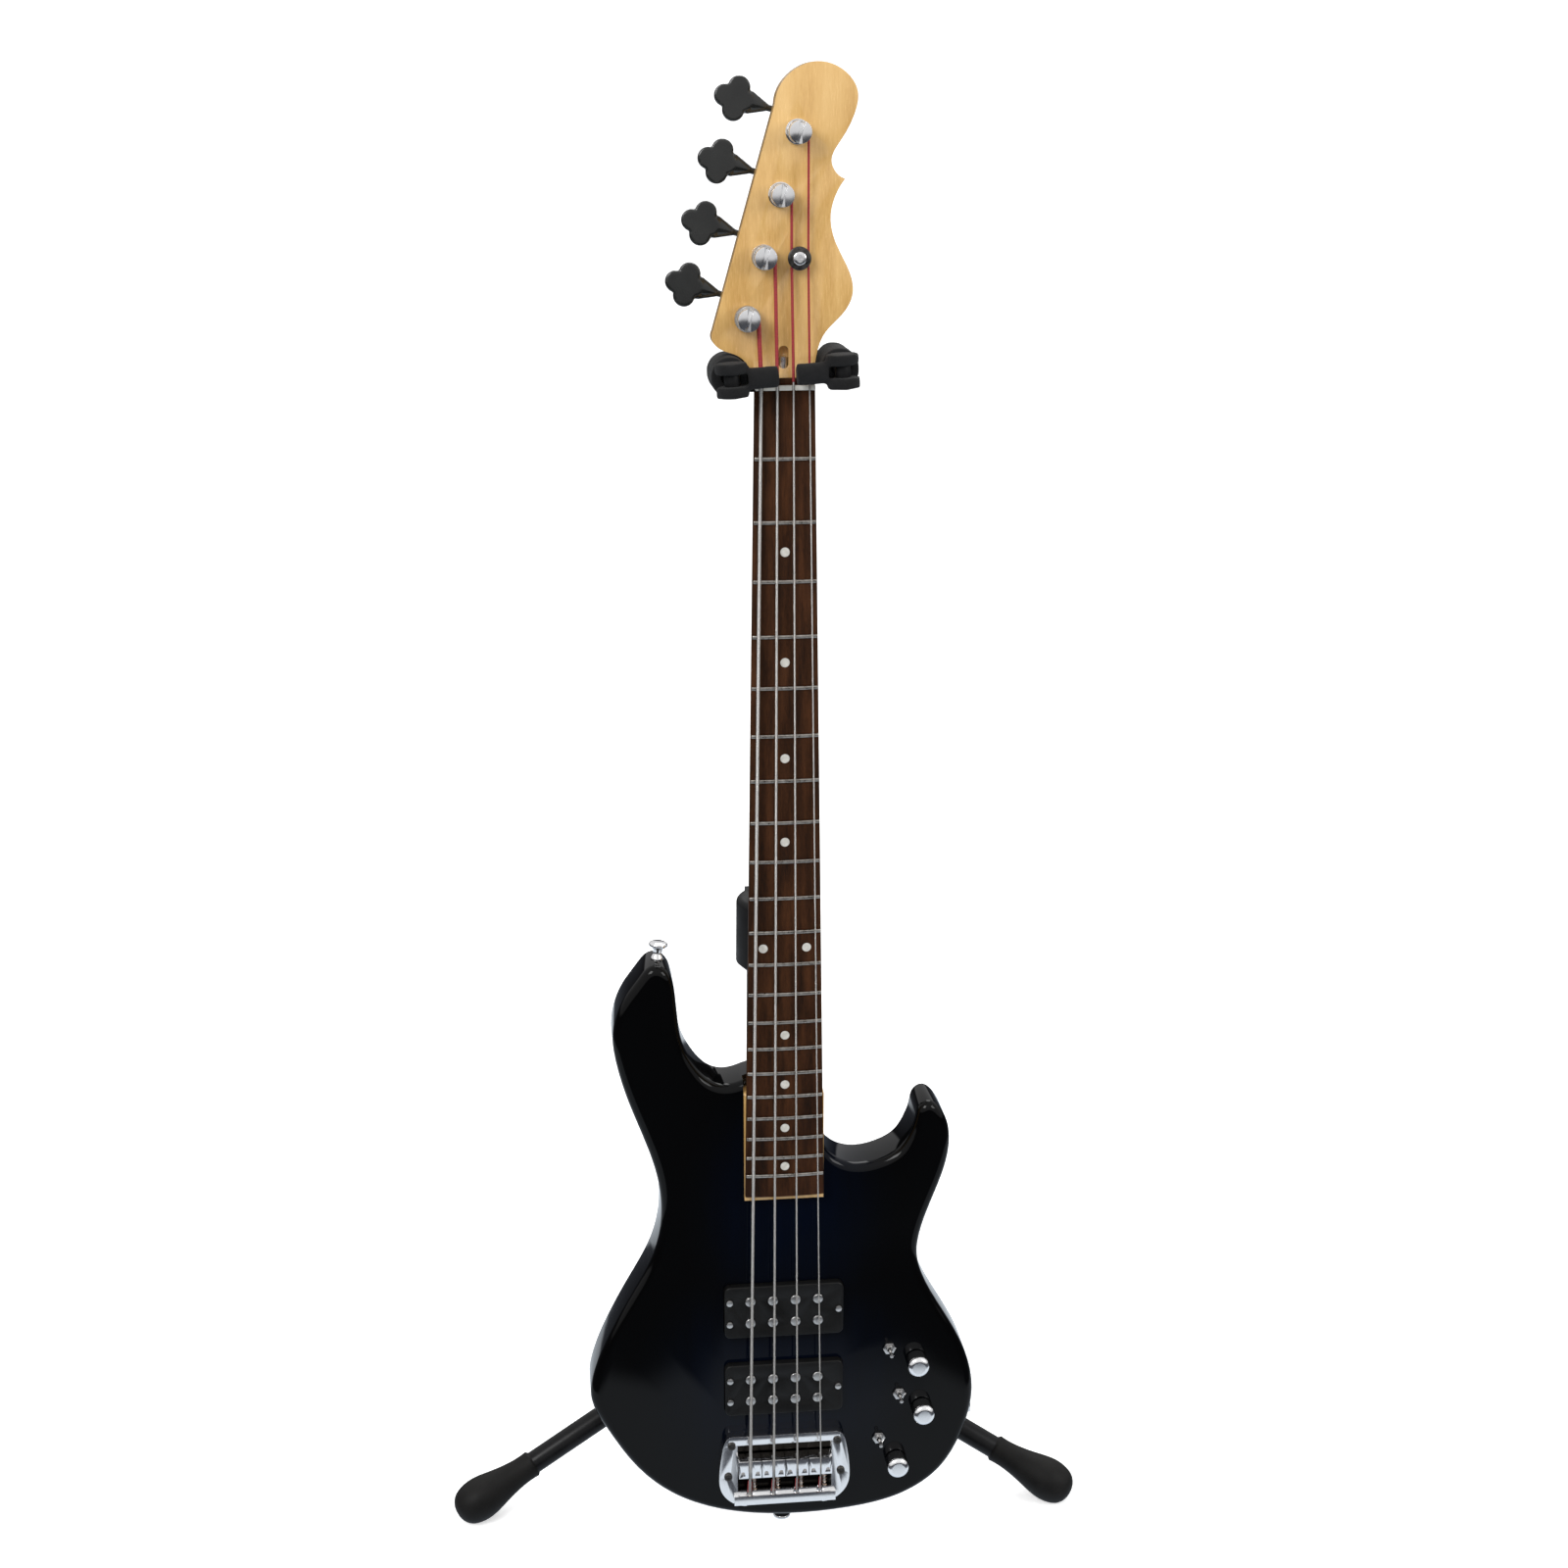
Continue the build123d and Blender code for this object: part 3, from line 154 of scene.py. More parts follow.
def fine_bump_group():
    """Fine uneven surface: a normal, and the same pattern as a mask."""
    group, entry, exit_node = new_group(
        "fine_surface", {"Scale": 900.0, "Depth": 0.00005},
        {"Normal": "NodeSocketVector", "Mask": "NodeSocketFloat"},
    )
    coordinates = group.nodes.new("ShaderNodeTexCoord").outputs["Object"]
    pattern = noise_in(group, coordinates, entry.outputs["Scale"], 3.0, 0.6)
    bump = group.nodes.new("ShaderNodeBump")
    bump.inputs["Strength"].default_value = 0.6
    group.links.new(entry.outputs["Depth"], bump.inputs["Distance"])
    group.links.new(pattern, bump.inputs["Height"])
    group.links.new(bump.outputs["Normal"], exit_node.inputs["Normal"])
    group.links.new(pattern, exit_node.inputs["Mask"])
    return group


def wood_group():
    """Grain that runs along the neck: broad figure, fine pores and a normal from the pores."""
    group, entry, exit_node = new_group(
        "wood_grain", {"Scale": 1.0},
        {"Figure": "NodeSocketFloat", "Pores": "NodeSocketFloat", "Normal": "NodeSocketVector"},
    )
    coordinates = group.nodes.new("ShaderNodeTexCoord").outputs["Object"]
    lay = group.nodes.new("ShaderNodeMapping")
    lay.inputs["Rotation"].default_value = (math.radians(-LEAN), 0, 0)
    lay.inputs["Scale"].default_value = (60, 60, 3.2)
    group.links.new(coordinates, lay.inputs["Vector"])
    figure = noise_in(group, lay.outputs["Vector"], entry.outputs["Scale"], 6.0, 0.62)
    pore_scale = math_in(group, "MULTIPLY", entry.outputs["Scale"], 14.0)
    pores = noise_in(group, lay.outputs["Vector"], pore_scale, 3.0, 0.7)
    bump = group.nodes.new("ShaderNodeBump")
    bump.inputs["Strength"].default_value = 0.35
    bump.inputs["Distance"].default_value = 0.0001
    group.links.new(pores, bump.inputs["Height"])
    group.links.new(figure, exit_node.inputs["Figure"])
    group.links.new(pores, exit_node.inputs["Pores"])
    group.links.new(bump.outputs["Normal"], exit_node.inputs["Normal"])
    return group


SMUDGES, FINE_SURFACE, WOOD_GRAIN = smudge_group(), fine_bump_group(), wood_group()


def grouped(tree, group, **values):
    node = tree.nodes.new("ShaderNodeGroup")
    node.node_tree = group
    for label, value in values.items():
        node.inputs[label].default_value = value
    return node.outputs


def ramp(tree, factor, *stops):
    """Colour that runs through (position, colour) stops with a mask."""
    node = tree.nodes.new("ShaderNodeValToRGB")
    elements = node.color_ramp.elements
    while len(elements) < len(stops):
        elements.new(0.5)
    for element, (position, colour) in zip(elements, stops):
        element.position = position
        element.color = (*colour, 1)
    tree.links.new(factor, node.inputs["Fac"])
    return node.outputs["Color"]


def spread(tree, value, low, high):
    """The mask, mapped from 0.3..0.7 to low..high."""
    node = tree.nodes.new("ShaderNodeMapRange")
    for label, number in (("From Min", 0.3), ("From Max", 0.7), ("To Min", low), ("To Max", high)):
        node.inputs[label].default_value = number
    tree.links.new(value, node.inputs["Value"])
    return node.outputs["Result"]


# ---------------------------------------------------------------- materials


def blank(name):
    material = bpy.data.materials.new(name)
    material.use_nodes = True
    tree = material.node_tree
    return material, tree, tree.nodes["Principled BSDF"]


def surface(name, dark, light, rough, metallic=0.0, cloud=40.0, speckle=0.3, bump=None, **sockets):
    """Material whose colour and roughness vary with smudges, with an optional (scale, depth) bump."""
    material, tree, shader = blank(name)
    mask = grouped(tree, SMUDGES, Scale=cloud, Speckle=speckle)["Mask"]
    tree.links.new(ramp(tree, mask, (0.25, dark), (0.75, light)), shader.inputs["Base Color"])
    tree.links.new(spread(tree, mask, *rough), shader.inputs["Roughness"])
    shader.inputs["Metallic"].default_value = metallic
    if bump:
        scale, depth = bump
        normal = grouped(tree, FINE_SURFACE, Scale=scale, Depth=depth)["Normal"]
        tree.links.new(normal, shader.inputs["Normal"])
    for label, value in sockets.items():
        shader.inputs[label.replace("_", " ")].default_value = value
    return material


def burst_lacquer():
    """Black edge that clears to a deep blue in two soft pools, under clear lacquer."""
    material, tree, shader = blank("burst_lacquer")
    coordinates = tree.nodes.new("ShaderNodeTexCoord").outputs["Object"]
    pools = []
    for x, y, wide, tall in ((0, -800, 128, 128), (6, -640, 88, 130)):
        pool = tree.nodes.new("ShaderNodeMapping")
        pool.vector_type = "TEXTURE"
        pool.inputs["Location"].default_value = place(x, y, -BODY_DEPTH / 2)
        pool.inputs["Rotation"].default_value = (math.radians(-LEAN), 0, 0)
        pool.inputs["Scale"].default_value = (wide * MM, 120 * MM, tall * MM)
        tree.links.new(coordinates, pool.inputs["Vector"])
        distance = tree.nodes.new("ShaderNodeVectorMath")
        distance.operation = "LENGTH"
        tree.links.new(pool.outputs["Vector"], distance.inputs[0])
        pools.append(math_in(tree, "SUBTRACT", 1.0, distance.outputs["Value"], clamp=True))
    centre = math_in(tree, "MAXIMUM", *pools)
    grain = grouped(tree, WOOD_GRAIN, Scale=1.4)
    shaded = math_in(tree, "MULTIPLY", centre, spread(tree, grain["Figure"], 0.75, 1.15))
    colour = ramp(
        tree, shaded,
        (0.0, (0.0012, 0.0012, 0.0013)), (0.16, (0.0012, 0.0014, 0.0020)),
        (0.45, (0.0010, 0.0020, 0.0052)), (0.9, (0.0009, 0.0026, 0.0092)),
    )
    tree.links.new(colour, shader.inputs["Base Color"])
    smears = grouped(tree, SMUDGES, Scale=9.0, Speckle=0.1)["Mask"]
    tree.links.new(spread(tree, smears, 0.07, 0.16), shader.inputs["Roughness"])
    shader.inputs["Coat Weight"].default_value = 0.16
    shader.inputs["Coat Roughness"].default_value = 0.03
    shader.inputs["Specular IOR Level"].default_value = 0.08
    return material


def bridge_chrome_painted_shade(floor_top, window):
    """Chrome with painted shade: its recess under the saddles is coloured dark, standing in for the shade that
    falls there.
    """
    material = surface("bridge_chrome_painted_shade", (0.86, 0.86, 0.87), (0.96, 0.96, 0.96), (0.14, 0.24), 1.0, 60, 0.25)
    tree = material.node_tree
    shader = tree.nodes["Principled BSDF"]
    lay = tree.nodes.new("ShaderNodeMapping")
    lay.vector_type = "TEXTURE"
    lay.inputs["Location"].default_value = place(0, 0, 0)
    lay.inputs["Rotation"].default_value = guitar.to_euler()
    lay.inputs["Scale"].default_value = (MM, MM, MM)
    tree.links.new(tree.nodes.new("ShaderNodeTexCoord").outputs["Object"], lay.inputs["Vector"])
    axes = tree.nodes.new("ShaderNodeSeparateXYZ")
    tree.links.new(lay.outputs["Vector"], axes.inputs[0])
    sideways = math_in(tree, "ABSOLUTE", axes.outputs["X"])
    # Painted shade mask: inside the window's width, between its bottom and top, and below floor_top.
    recess_painted_shade = math_in(tree, "LESS_THAN", sideways, window[0])
    for operation, edge in (("GREATER_THAN", window[1]), ("LESS_THAN", window[2])):
        recess_painted_shade = math_in(tree, "MULTIPLY", recess_painted_shade, math_in(tree, operation, axes.outputs["Y"], edge))
    recess_painted_shade = math_in(tree, "MULTIPLY", recess_painted_shade, math_in(tree, "LESS_THAN", axes.outputs["Z"], floor_top))
    polished = shader.inputs["Base Color"].links[0].from_socket
    mix = tree.nodes.new("ShaderNodeMix")
    mix.data_type = "RGBA"
    tree.links.new(recess_painted_shade, mix.inputs[0])
    tree.links.new(polished, mix.inputs[6])
    # Painted shade: the dark colour that the shaded recess under the saddles is given.
    mix.inputs[7].default_value = (0.018, 0.016, 0.014, 1)
    tree.links.new(mix.outputs[2], shader.inputs["Base Color"])
    return material


def grained(name, stops, rough, scale, coat=0.0, specular=0.5):
    """Wood whose colour runs through `stops` with the grain."""
    material, tree, shader = blank(name)
    grain = grouped(tree, WOOD_GRAIN, Scale=scale)
    mixed = math_in(tree, "ADD", math_in(tree, "MULTIPLY", grain["Figure"], 0.7),
                    math_in(tree, "MULTIPLY", grain["Pores"], 0.3))
    tree.links.new(ramp(tree, mixed, *stops), shader.inputs["Base Color"])
    tree.links.new(spread(tree, grain["Pores"], *rough), shader.inputs["Roughness"])
    tree.links.new(grain["Normal"], shader.inputs["Normal"])
    shader.inputs["Coat Weight"].default_value = coat
    shader.inputs["Coat Roughness"].default_value = 0.05
    shader.inputs["Specular IOR Level"].default_value = specular
    return material


def wound(name, dark, light, rough, pitch, metallic):
    """Thread or wire wound round a string: fine bands across the neck's length."""
    material, tree, shader = blank(name)
    coordinates = tree.nodes.new("ShaderNodeTexCoord").outputs["Object"]
    bands = tree.nodes.new("ShaderNodeTexWave")
    bands.bands_direction = "Z"
    bands.inputs["Scale"].default_value = 0.31 / (pitch * MM)
    bands.inputs["Distortion"].default_value = 0.8
    tree.links.new(coordinates, bands.inputs["Vector"])
    colour = ramp(tree, bands.outputs["Fac"], (0.1, dark), (0.8, light))
    tree.links.new(colour, shader.inputs["Base Color"])
    tree.links.new(spread(tree, bands.outputs["Fac"], *rough), shader.inputs["Roughness"])
    bump = tree.nodes.new("ShaderNodeBump")
    bump.inputs["Distance"].default_value = 0.00012
    bump.inputs["Strength"].default_value = 0.8
    tree.links.new(bands.outputs["Fac"], bump.inputs["Height"])
    tree.links.new(bump.outputs["Normal"], shader.inputs["Normal"])
    shader.inputs["Metallic"].default_value = metallic
    return material


MAPLE = ((0.30, (0.52, 0.285, 0.080)), (0.5, (0.68, 0.415, 0.145)), (0.72, (0.78, 0.51, 0.205)))
ROSEWOOD = ((0.33, (0.009, 0.0036, 0.0014)), (0.47, (0.030, 0.0105, 0.0035)), (0.68, (0.074, 0.026, 0.009)))
BLACK = (0.004, 0.004, 0.0045)

finishes = {
    "burst_lacquer": burst_lacquer(),
    "maple": grained("maple", MAPLE, (0.18, 0.30), 1.0, coat=0.6),
    "rosewood": grained("rosewood", ROSEWOOD, (0.5, 0.75), 2.2, specular=0.1),
    "fret_silver": surface(
        "fret_silver", (0.27, 0.24, 0.21), (0.52, 0.49, 0.45), (0.22, 0.42), 1.0, 300, 0.5),
    "pearl": surface(
        "pearl", (0.62, 0.60, 0.54), (0.84, 0.83, 0.78), (0.18, 0.32), 0.0, 320, 0.2,
        Coat_Weight=0.5, Sheen_Weight=0.15),
    "bone": surface(
        "bone", (0.66, 0.63, 0.55), (0.83, 0.81, 0.75), (0.28, 0.45), 0.0, 200, 0.4, (2500, 0.00002)),
    "steel": surface("steel", (0.44, 0.43, 0.42), (0.66, 0.65, 0.64), (0.2, 0.38), 1.0, 160, 0.5),
    "chrome": surface("chrome", (0.80, 0.80, 0.81), (0.93, 0.93, 0.93), (0.03, 0.10), 1.0, 60, 0.2),
    "black_key": surface(
        "black_key", (0.006, 0.0065, 0.006), (0.016, 0.017, 0.016), (0.16, 0.28), 0.0, 70, 0.4,
        Coat_Weight=0.3),
    "black_plastic": surface(
        "black_plastic", (0.003, 0.003, 0.003), (0.008, 0.008, 0.008), (0.34, 0.5), 0.0, 50, 0.5,
        (1500, 0.00003), Specular_IOR_Level=0.2),
    "dark_screw": surface(
        "dark_screw", (0.035, 0.033, 0.030), (0.12, 0.115, 0.11), (0.25, 0.45), 1.0, 400, 0.5),
    "copper_coil": wound("copper_coil", (0.20, 0.055, 0.02), (0.62, 0.22, 0.09), (0.25, 0.4), 0.6, 0.9),
    "board_green": surface(
        "board_green", (0.010, 0.060, 0.028), (0.020, 0.120, 0.050), (0.3, 0.5), 0.0, 220, 0.6,
        (1800, 0.00004)),
    "stand_black": surface(
        "stand_black", BLACK, (0.011, 0.011, 0.012), (0.28, 0.44), 0.0, 30, 0.4,
        (1400, 0.00003), Specular_IOR_Level=0.16),
    "stand_plastic": surface(
        "stand_plastic", BLACK, (0.011, 0.011, 0.0115), (0.42, 0.6), 0.0, 60, 0.5,
        (900, 0.00012), Specular_IOR_Level=0.14),
    "foam": surface(
        "foam", (0.0035, 0.0035, 0.0035), (0.011, 0.011, 0.0115), (0.85, 1.0), 0.0, 120, 0.7,
        (1300, 0.0004), Sheen_Weight=0.04, Sheen_Roughness=0.6, Specular_IOR_Level=0.2),
    "foot_rubber": surface(
        "foot_rubber", (0.004, 0.004, 0.004), (0.012, 0.0115, 0.011), (0.45, 0.65), 0.0, 50, 0.6,
        (1100, 0.00012), Specular_IOR_Level=0.14),
}
SATIN_CHROME = surface("satin_chrome", (0.86, 0.86, 0.87), (0.96, 0.96, 0.96), (0.14, 0.24), 1.0, 60, 0.25)
WOUND_STEEL = wound("wound_steel", (0.22, 0.20, 0.18), (0.66, 0.64, 0.61), (0.22, 0.4), 0.5, 1.0)
RED_SILK = wound("red_silk", (0.16, 0.008, 0.012), (0.42, 0.030, 0.035), (0.5, 0.75), 0.9, 0.0)
BRIGHT_SPRING = surface("bright_spring", (0.30, 0.20, 0.14), (0.62, 0.50, 0.40), (0.2, 0.4), 1.0, 300, 0.4)
BATTERY_WRAP = surface("battery_wrap", (0.20, 0.13, 0.03), (0.33, 0.24, 0.07), (0.3, 0.45), 0.3, 90, 0.4)

# ---------------------------------------------------------------- making pieces


def pick(piece):
    """Only this piece is selected and active."""
    bpy.ops.object.select_all(action="DESELECT")
    piece.select_set(True)
    bpy.context.view_layer.objects.active = piece


def add_piece(name, mesh):
    piece = bpy.data.objects.new(name, mesh)
    bpy.context.scene.collection.objects.link(piece)
    return piece


def settle(piece):
    """The object's place goes into its mesh."""
    pick(piece)
    bpy.ops.object.transform_apply(location=True, rotation=True, scale=True)
    return piece


def apply_modifier(piece, kind, **values):
    pick(piece)
    modifier = piece.modifiers.new(kind.lower(), kind)
    for label, value in values.items():
        setattr(modifier, label, value)
    bpy.ops.object.modifier_apply(modifier=modifier.name)


def merged(name, node, flat=1.0):
    """Copy of a CAD node with its triangles joined and its flat faces whole."""
    piece = add_piece(name, frame["nodes"][node].data.copy())
    pick(piece)
    bpy.ops.object.mode_set(mode="EDIT")
    bpy.ops.mesh.select_all(action="SELECT")
    bpy.ops.mesh.remove_doubles(threshold=0.000004)
    bpy.ops.mesh.dissolve_limited(angle_limit=math.radians(flat))
    bpy.ops.object.mode_set(mode="OBJECT")
    if piece.data.has_custom_normals:
        bpy.ops.mesh.customdata_custom_splitnormals_clear()
    return piece


def finish_piece(piece, material, body, *nodes, slot=None, angle=35.0):
    """Material, shading, the CAD body that it rides on and the nodes that it stands for."""
    piece.data.materials.clear()
    piece.data.materials.append(material)
    pick(piece)
    bpy.ops.object.shade_smooth_by_angle(angle=math.radians(angle))
    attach(piece, body)
    if nodes:
        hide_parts(*nodes)
        slot = slot or slot_of_node[nodes[0]]
    return piece


def eased(node, edge, segments=2, angle=30.0, material=None, name=None):
    """The CAD node's shape with its sharp edges rounded over by `edge` millimetres."""
    piece = merged(name or f"{node}_finished", node)
    apply_modifier(piece, "BEVEL", width=edge * MM, segments=segments, limit_method="ANGLE",
                   angle_limit=math.radians(angle), use_clamp_overlap=True, harden_normals=False)
    return finish_piece(piece, material or finishes[slot_of_node[node]], body_of_node[node], node)


def cylinder(radius, depth, spot, way=(0, 0, 1), vertices=32):
    """Cylinder in guitar millimetres, centred on `spot` and running along `way`."""
    bpy.ops.object.select_all(action="DESELECT")
    bpy.ops.mesh.primitive_cylinder_add(vertices=vertices, radius=radius, depth=depth)
    piece = bpy.context.object
    turn = Vector((0, 0, 1)).rotation_difference(Vector(way)).to_matrix().to_4x4()
    piece.matrix_world = guitar @ Matrix.Translation(spot) @ turn
    return settle(piece)


def block(width, height, depth, spot, corner=0.0):
    """Box in guitar millimetres, centred on `spot`, with its upright edges rounded."""
    bpy.ops.object.select_all(action="DESELECT")
    bpy.ops.mesh.primitive_cube_add(size=1)
    piece = bpy.context.object
    piece.scale = (width, height, depth)
    settle(piece)
    if corner:
        bm = bmesh.new()
        bm.from_mesh(piece.data)
        upright = [e for e in bm.edges if abs(e.verts[0].co.z - e.verts[1].co.z) > depth / 2]
        bmesh.ops.bevel(bm, geom=upright, offset=corner, segments=8, profile=0.5, affect="EDGES")
        bm.to_mesh(piece.data)
        bm.free()
    piece.matrix_world = guitar @ Matrix.Translation(spot)
    return settle(piece)


def joined(*parts):
    bpy.ops.object.select_all(action="DESELECT")
    for part in parts:
        part.select_set(True)
    bpy.context.view_layer.objects.active = parts[0]
    bpy.ops.object.join()
    return bpy.context.object


def cut(piece, *cutters):
    """Takes the cutters out of the piece."""
    for cutter in cutters:
        apply_modifier(piece, "BOOLEAN", operation="DIFFERENCE", object=cutter, solver="EXACT")
        bpy.data.objects.remove(cutter)
    return piece


def tube(name, points, radius, sides=4):
    """Closed round tube along a smooth line through row points."""
    curve = bpy.data.curves.new(name, "CURVE")
    curve.dimensions = "3D"
    curve.bevel_depth = radius * MM
    curve.bevel_resolution = sides
    curve.use_fill_caps = True
    line = curve.splines.new("POLY")
    line.points.add(len(points) - 1)
    for point, spot in zip(line.points, points):
        point.co = (*spot, 1)
    holder = add_piece(name, curve)
    pick(holder)
    bpy.ops.object.convert(target="MESH")
    return bpy.context.object


# ---------------------------------------------------------------- guitar body


def body_outline():
    """Ordered outline of the CAD body's widest section, in guitar millimetres."""
    bm = bmesh.new()
    bm.from_mesh(frame["nodes"]["body"].data)
    bmesh.ops.remove_doubles(bm, verts=bm.verts, dist=0.000004)
    bmesh.ops.transform(bm, matrix=to_guitar, verts=bm.verts)
    section = bmesh.ops.bisect_plane(
        bm, geom=bm.verts[:] + bm.edges[:] + bm.faces[:], plane_co=(0, 0, SECTION_LEVEL), plane_no=(0, 0, 1)
    )["geom_cut"]
    left = {edge for edge in section if isinstance(edge, bmesh.types.BMEdge)}
    loops = []
    while left:
        edge = left.pop()
        loop = [edge.verts[0], edge.verts[1]]
        while True:
            step = next((e for e in loop[-1].link_edges if e in left), None)
            if step is None:
                break
            left.remove(step)
            loop.append(step.other_vert(loop[-1]))
        loops.append([vertex.co.to_2d() for vertex in loop])
    bm.free()
    outline = max(loops, key=lambda loop: max(p.x for p in loop) - min(p.x for p in loop))
    return outline[:-1] if (outline[0] - outline[-1]).length < 0.01 else outline


def even(outline, step):
    """The closed outline again, with points `step` apart."""
    ring = outline + outline[:1]
    run, spots = 0.0, []
    for a, b in zip(ring, ring[1:]):
        length = (b - a).length
        while run < length:
            spots.append(a.lerp(b, run / length))
            run += step
        run -= length
    return spots[:-1]


def rounded_slab(outline, depth, radius, segments):
    """Slab in guitar millimetres with both its faces rounded over."""
    bm = bmesh.new()
    ring = [bm.verts.new((p.x, p.y, 0)) for p in outline]
    face = bm.faces.new(ring)
    if face.calc_area() and face.normal.z < 0:
        face.normal_flip()
    bottom = bmesh.ops.extrude_face_region(bm, geom=[face])["geom"]
    lower_ring = [part for part in bottom if isinstance(part, bmesh.types.BMVert)]
    bmesh.ops.translate(bm, vec=(0, 0, -depth), verts=lower_ring)
    bmesh.ops.recalc_face_normals(bm, faces=bm.faces)
    rims = [e for e in bm.edges if abs(e.verts[0].co.z - e.verts[1].co.z) < 1e-6]
    bmesh.ops.bevel(bm, geom=rims, offset=radius, segments=segments, profile=0.5, affect="EDGES",
                    clamp_overlap=True)
    mesh = bpy.data.meshes.new("slab")
    bm.to_mesh(mesh)
    bm.free()
    mesh.transform(guitar)
    return mesh


def guitar_body():
    outline = even(body_outline(), 3.0)
    piece = add_piece("guitar_body", rounded_slab(outline, BODY_DEPTH, BODY_ROUND, 7))
    wells = []
    for low, high in pickup_spans():
        wells.append(block(96, high - low + 1, 40, (0, (low + high) / 2, -2), 5.5))
    pocket = block(*POCKET_SIZE, POCKET_MIDDLE)
    low, high = node_span("control_cover")
    centre = (low + high) / 2
    wide, tall = high.x - low.x, high.y - low.y
    rebate_spot = (centre.x, centre.y, -BODY_DEPTH - 0.4)
    rebate = block(wide + 0.6, tall + 0.6, 6.0, rebate_spot, COVER_CORNER)
    cavity_spot = (centre.x, centre.y, -67)
    cavity = block(wide - CAVITY_RIM, tall - CAVITY_RIM, 60, cavity_spot, CAVITY_CORNER)
    holes = []
    for knob in ("volume", "treble", "bass"):
        spot = to_guitar @ Vector(joints[f"{knob}_turn"]["pos_m"])
        holes.append(cylinder(4.8, 20, (spot.x, spot.y, -4)))
    for toggle in ("pickup", "coil", "preamp"):
        spot = to_guitar @ Vector(joints[f"{toggle}_toggle_flip"]["pos_m"])
        holes.append(cylinder(3.2, 20, (spot.x, spot.y, -4)))
    jack_low, jack_high = node_span("output_jack")
    spot = (jack_low + jack_high) / 2
    holes.append(cylinder(6.1, 60, (spot.x + 16, spot.y, spot.z), (1, 0, 0)))
    cut(piece, *wells, pocket, rebate, cavity, *holes)
    return finish_piece(piece, finishes["burst_lacquer"], "guitar", "body", angle=40)


guitar_body()

# ---------------------------------------------------------------- neck, board and strings

eased("neck", 1.6, 3, angle=50)
eased("fingerboard", 0.5, 2, angle=40)
eased("frets", 0.7, 3)
eased("fret_dots", 0.1, 1)
eased("nut", 0.35, 2)
eased("string_retainer", 0.5, 3)
for label in ("neck_plate", "tuner_housings"):
    eased(label, 0.4, 2)


def string_set():
    """The four strings, and the silk on their ends beyond the nut and behind the bridge."""
    piece = merged("strings_finished", "strings", 0.2)
    cut(piece, block(120, 40, 40, (0, node_span("bridge_plate")[0].y - 16, 0)))
    finish_piece(piece, WOUND_STEEL, "guitar", "strings", angle=60)
    tail = node_span("bridge_plate")[0].y
    sleeves = []
    for number, (post, x_nut, radius) in enumerate(zip(posts, nut_xs, string_radii)):
        start = Vector((post.x + WRAP_OUT + radius, post.y, WRAP_LEVEL))
        end = NUT_TOP + Vector((x_nut, 0, radius))
        line = [start, end]
        if number > 1:
            share = (post.y - RETAINER_UP) / post.y
            x_held = start.x + (x_nut - start.x) * share
            line.insert(1, Vector((x_held, RETAINER_UP, RETAINER_LEVEL)))
        sleeves.append(tube("silk", [guitar @ spot for spot in line], radius + 0.28))
    for x, radius in zip(saddle_xs, string_radii):
        low = place(x, tail + 13.5, 9.4)
        high = place(x, tail + 24.5, 12.4)
        sleeves.append(tube("silk", [low, high], radius + 0.5))
    silk = joined(*sleeves)
    silk.name = "string_silk"
    finish_piece(silk, RED_SILK, "guitar", slot="steel", angle=60)


string_set()

# ---------------------------------------------------------------- bridge and pickups

# The bridge's window: its recess under the saddles gets painted shade in the chrome.
BRIDGE_WINDOW = (38.1, -888.0, -846.0)  # half its width, its bottom and its top
eased("bridge_plate", 0.9, 3, angle=40, material=bridge_chrome_painted_shade(6.5, BRIDGE_WINDOW))
eased("bridge_saddles", 0.6, 2, material=SATIN_CHROME)
eased("pickup_covers", 0.5, 2, angle=50)
eased("pickup_poles", 0.6, 3, material=finishes["steel"])


def helix(centre_x, low, high, z, radius, turns):
    steps = int(turns * 14)
    spots = []
    for step in range(steps + 1):
        angle = 2 * math.pi * turns * step / steps
        spots.append(place(centre_x + radius * math.cos(angle), low + (high - low) * step / steps,
                           z + radius * math.sin(angle)))
    return spots


def saddle_springs():
    """A coil spring round each intonation screw, between the saddle and the plate's tail."""
    saddle_back = node_span("bridge_saddles")[0].y
    tail = node_span("bridge_plate")[0].y + 13.5
    coils = []
    for x in saddle_xs:
        coils.append(tube("spring", helix(x + SCREW_BESIDE, tail, saddle_back, 5.0, 2.1, 6), 0.35, 1))
    springs = joined(*coils)
    springs.name = "saddle_springs"
    finish_piece(springs, BRIGHT_SPRING, "guitar", slot="chrome", angle=60)


saddle_springs()


def crossed_screws(node, name, spots, top, reach, material):
    """The node's screws with a cross recess sunk into each head."""
    piece = merged(name, node)
    apply_modifier(piece, "BEVEL", width=0.5 * MM, segments=3, limit_method="ANGLE",
                   angle_limit=math.radians(40), use_clamp_overlap=True)
    bars = []
    for x, y in spots:
        bars.append(block(reach, 0.7, 1.6, (x, y, top)))
        bars.append(block(0.7, reach, 1.6, (x, y, top)))
    for bar in bars:
        cut(piece, bar)
    return finish_piece(piece, material, body_of_node[node], node)


def screw_spots(node, apart=4.0):
    """Middle of each screw in a node, found by grouping its vertices across the face."""
    groups = []
    for vertex in frame["nodes"][node].data.vertices:
        spot = (to_guitar @ vertex.co).to_2d()
        for group in groups:
            if (group[0] - spot).length < 2.4 * apart:
                group.append(spot)
                break
        else:
            groups.append([spot])
    middles = []
    for group in groups:
        xs, ys = [p.x for p in group], [p.y for p in group]
        middles.append(((min(xs) + max(xs)) / 2, (min(ys) + max(ys)) / 2))
    return middles


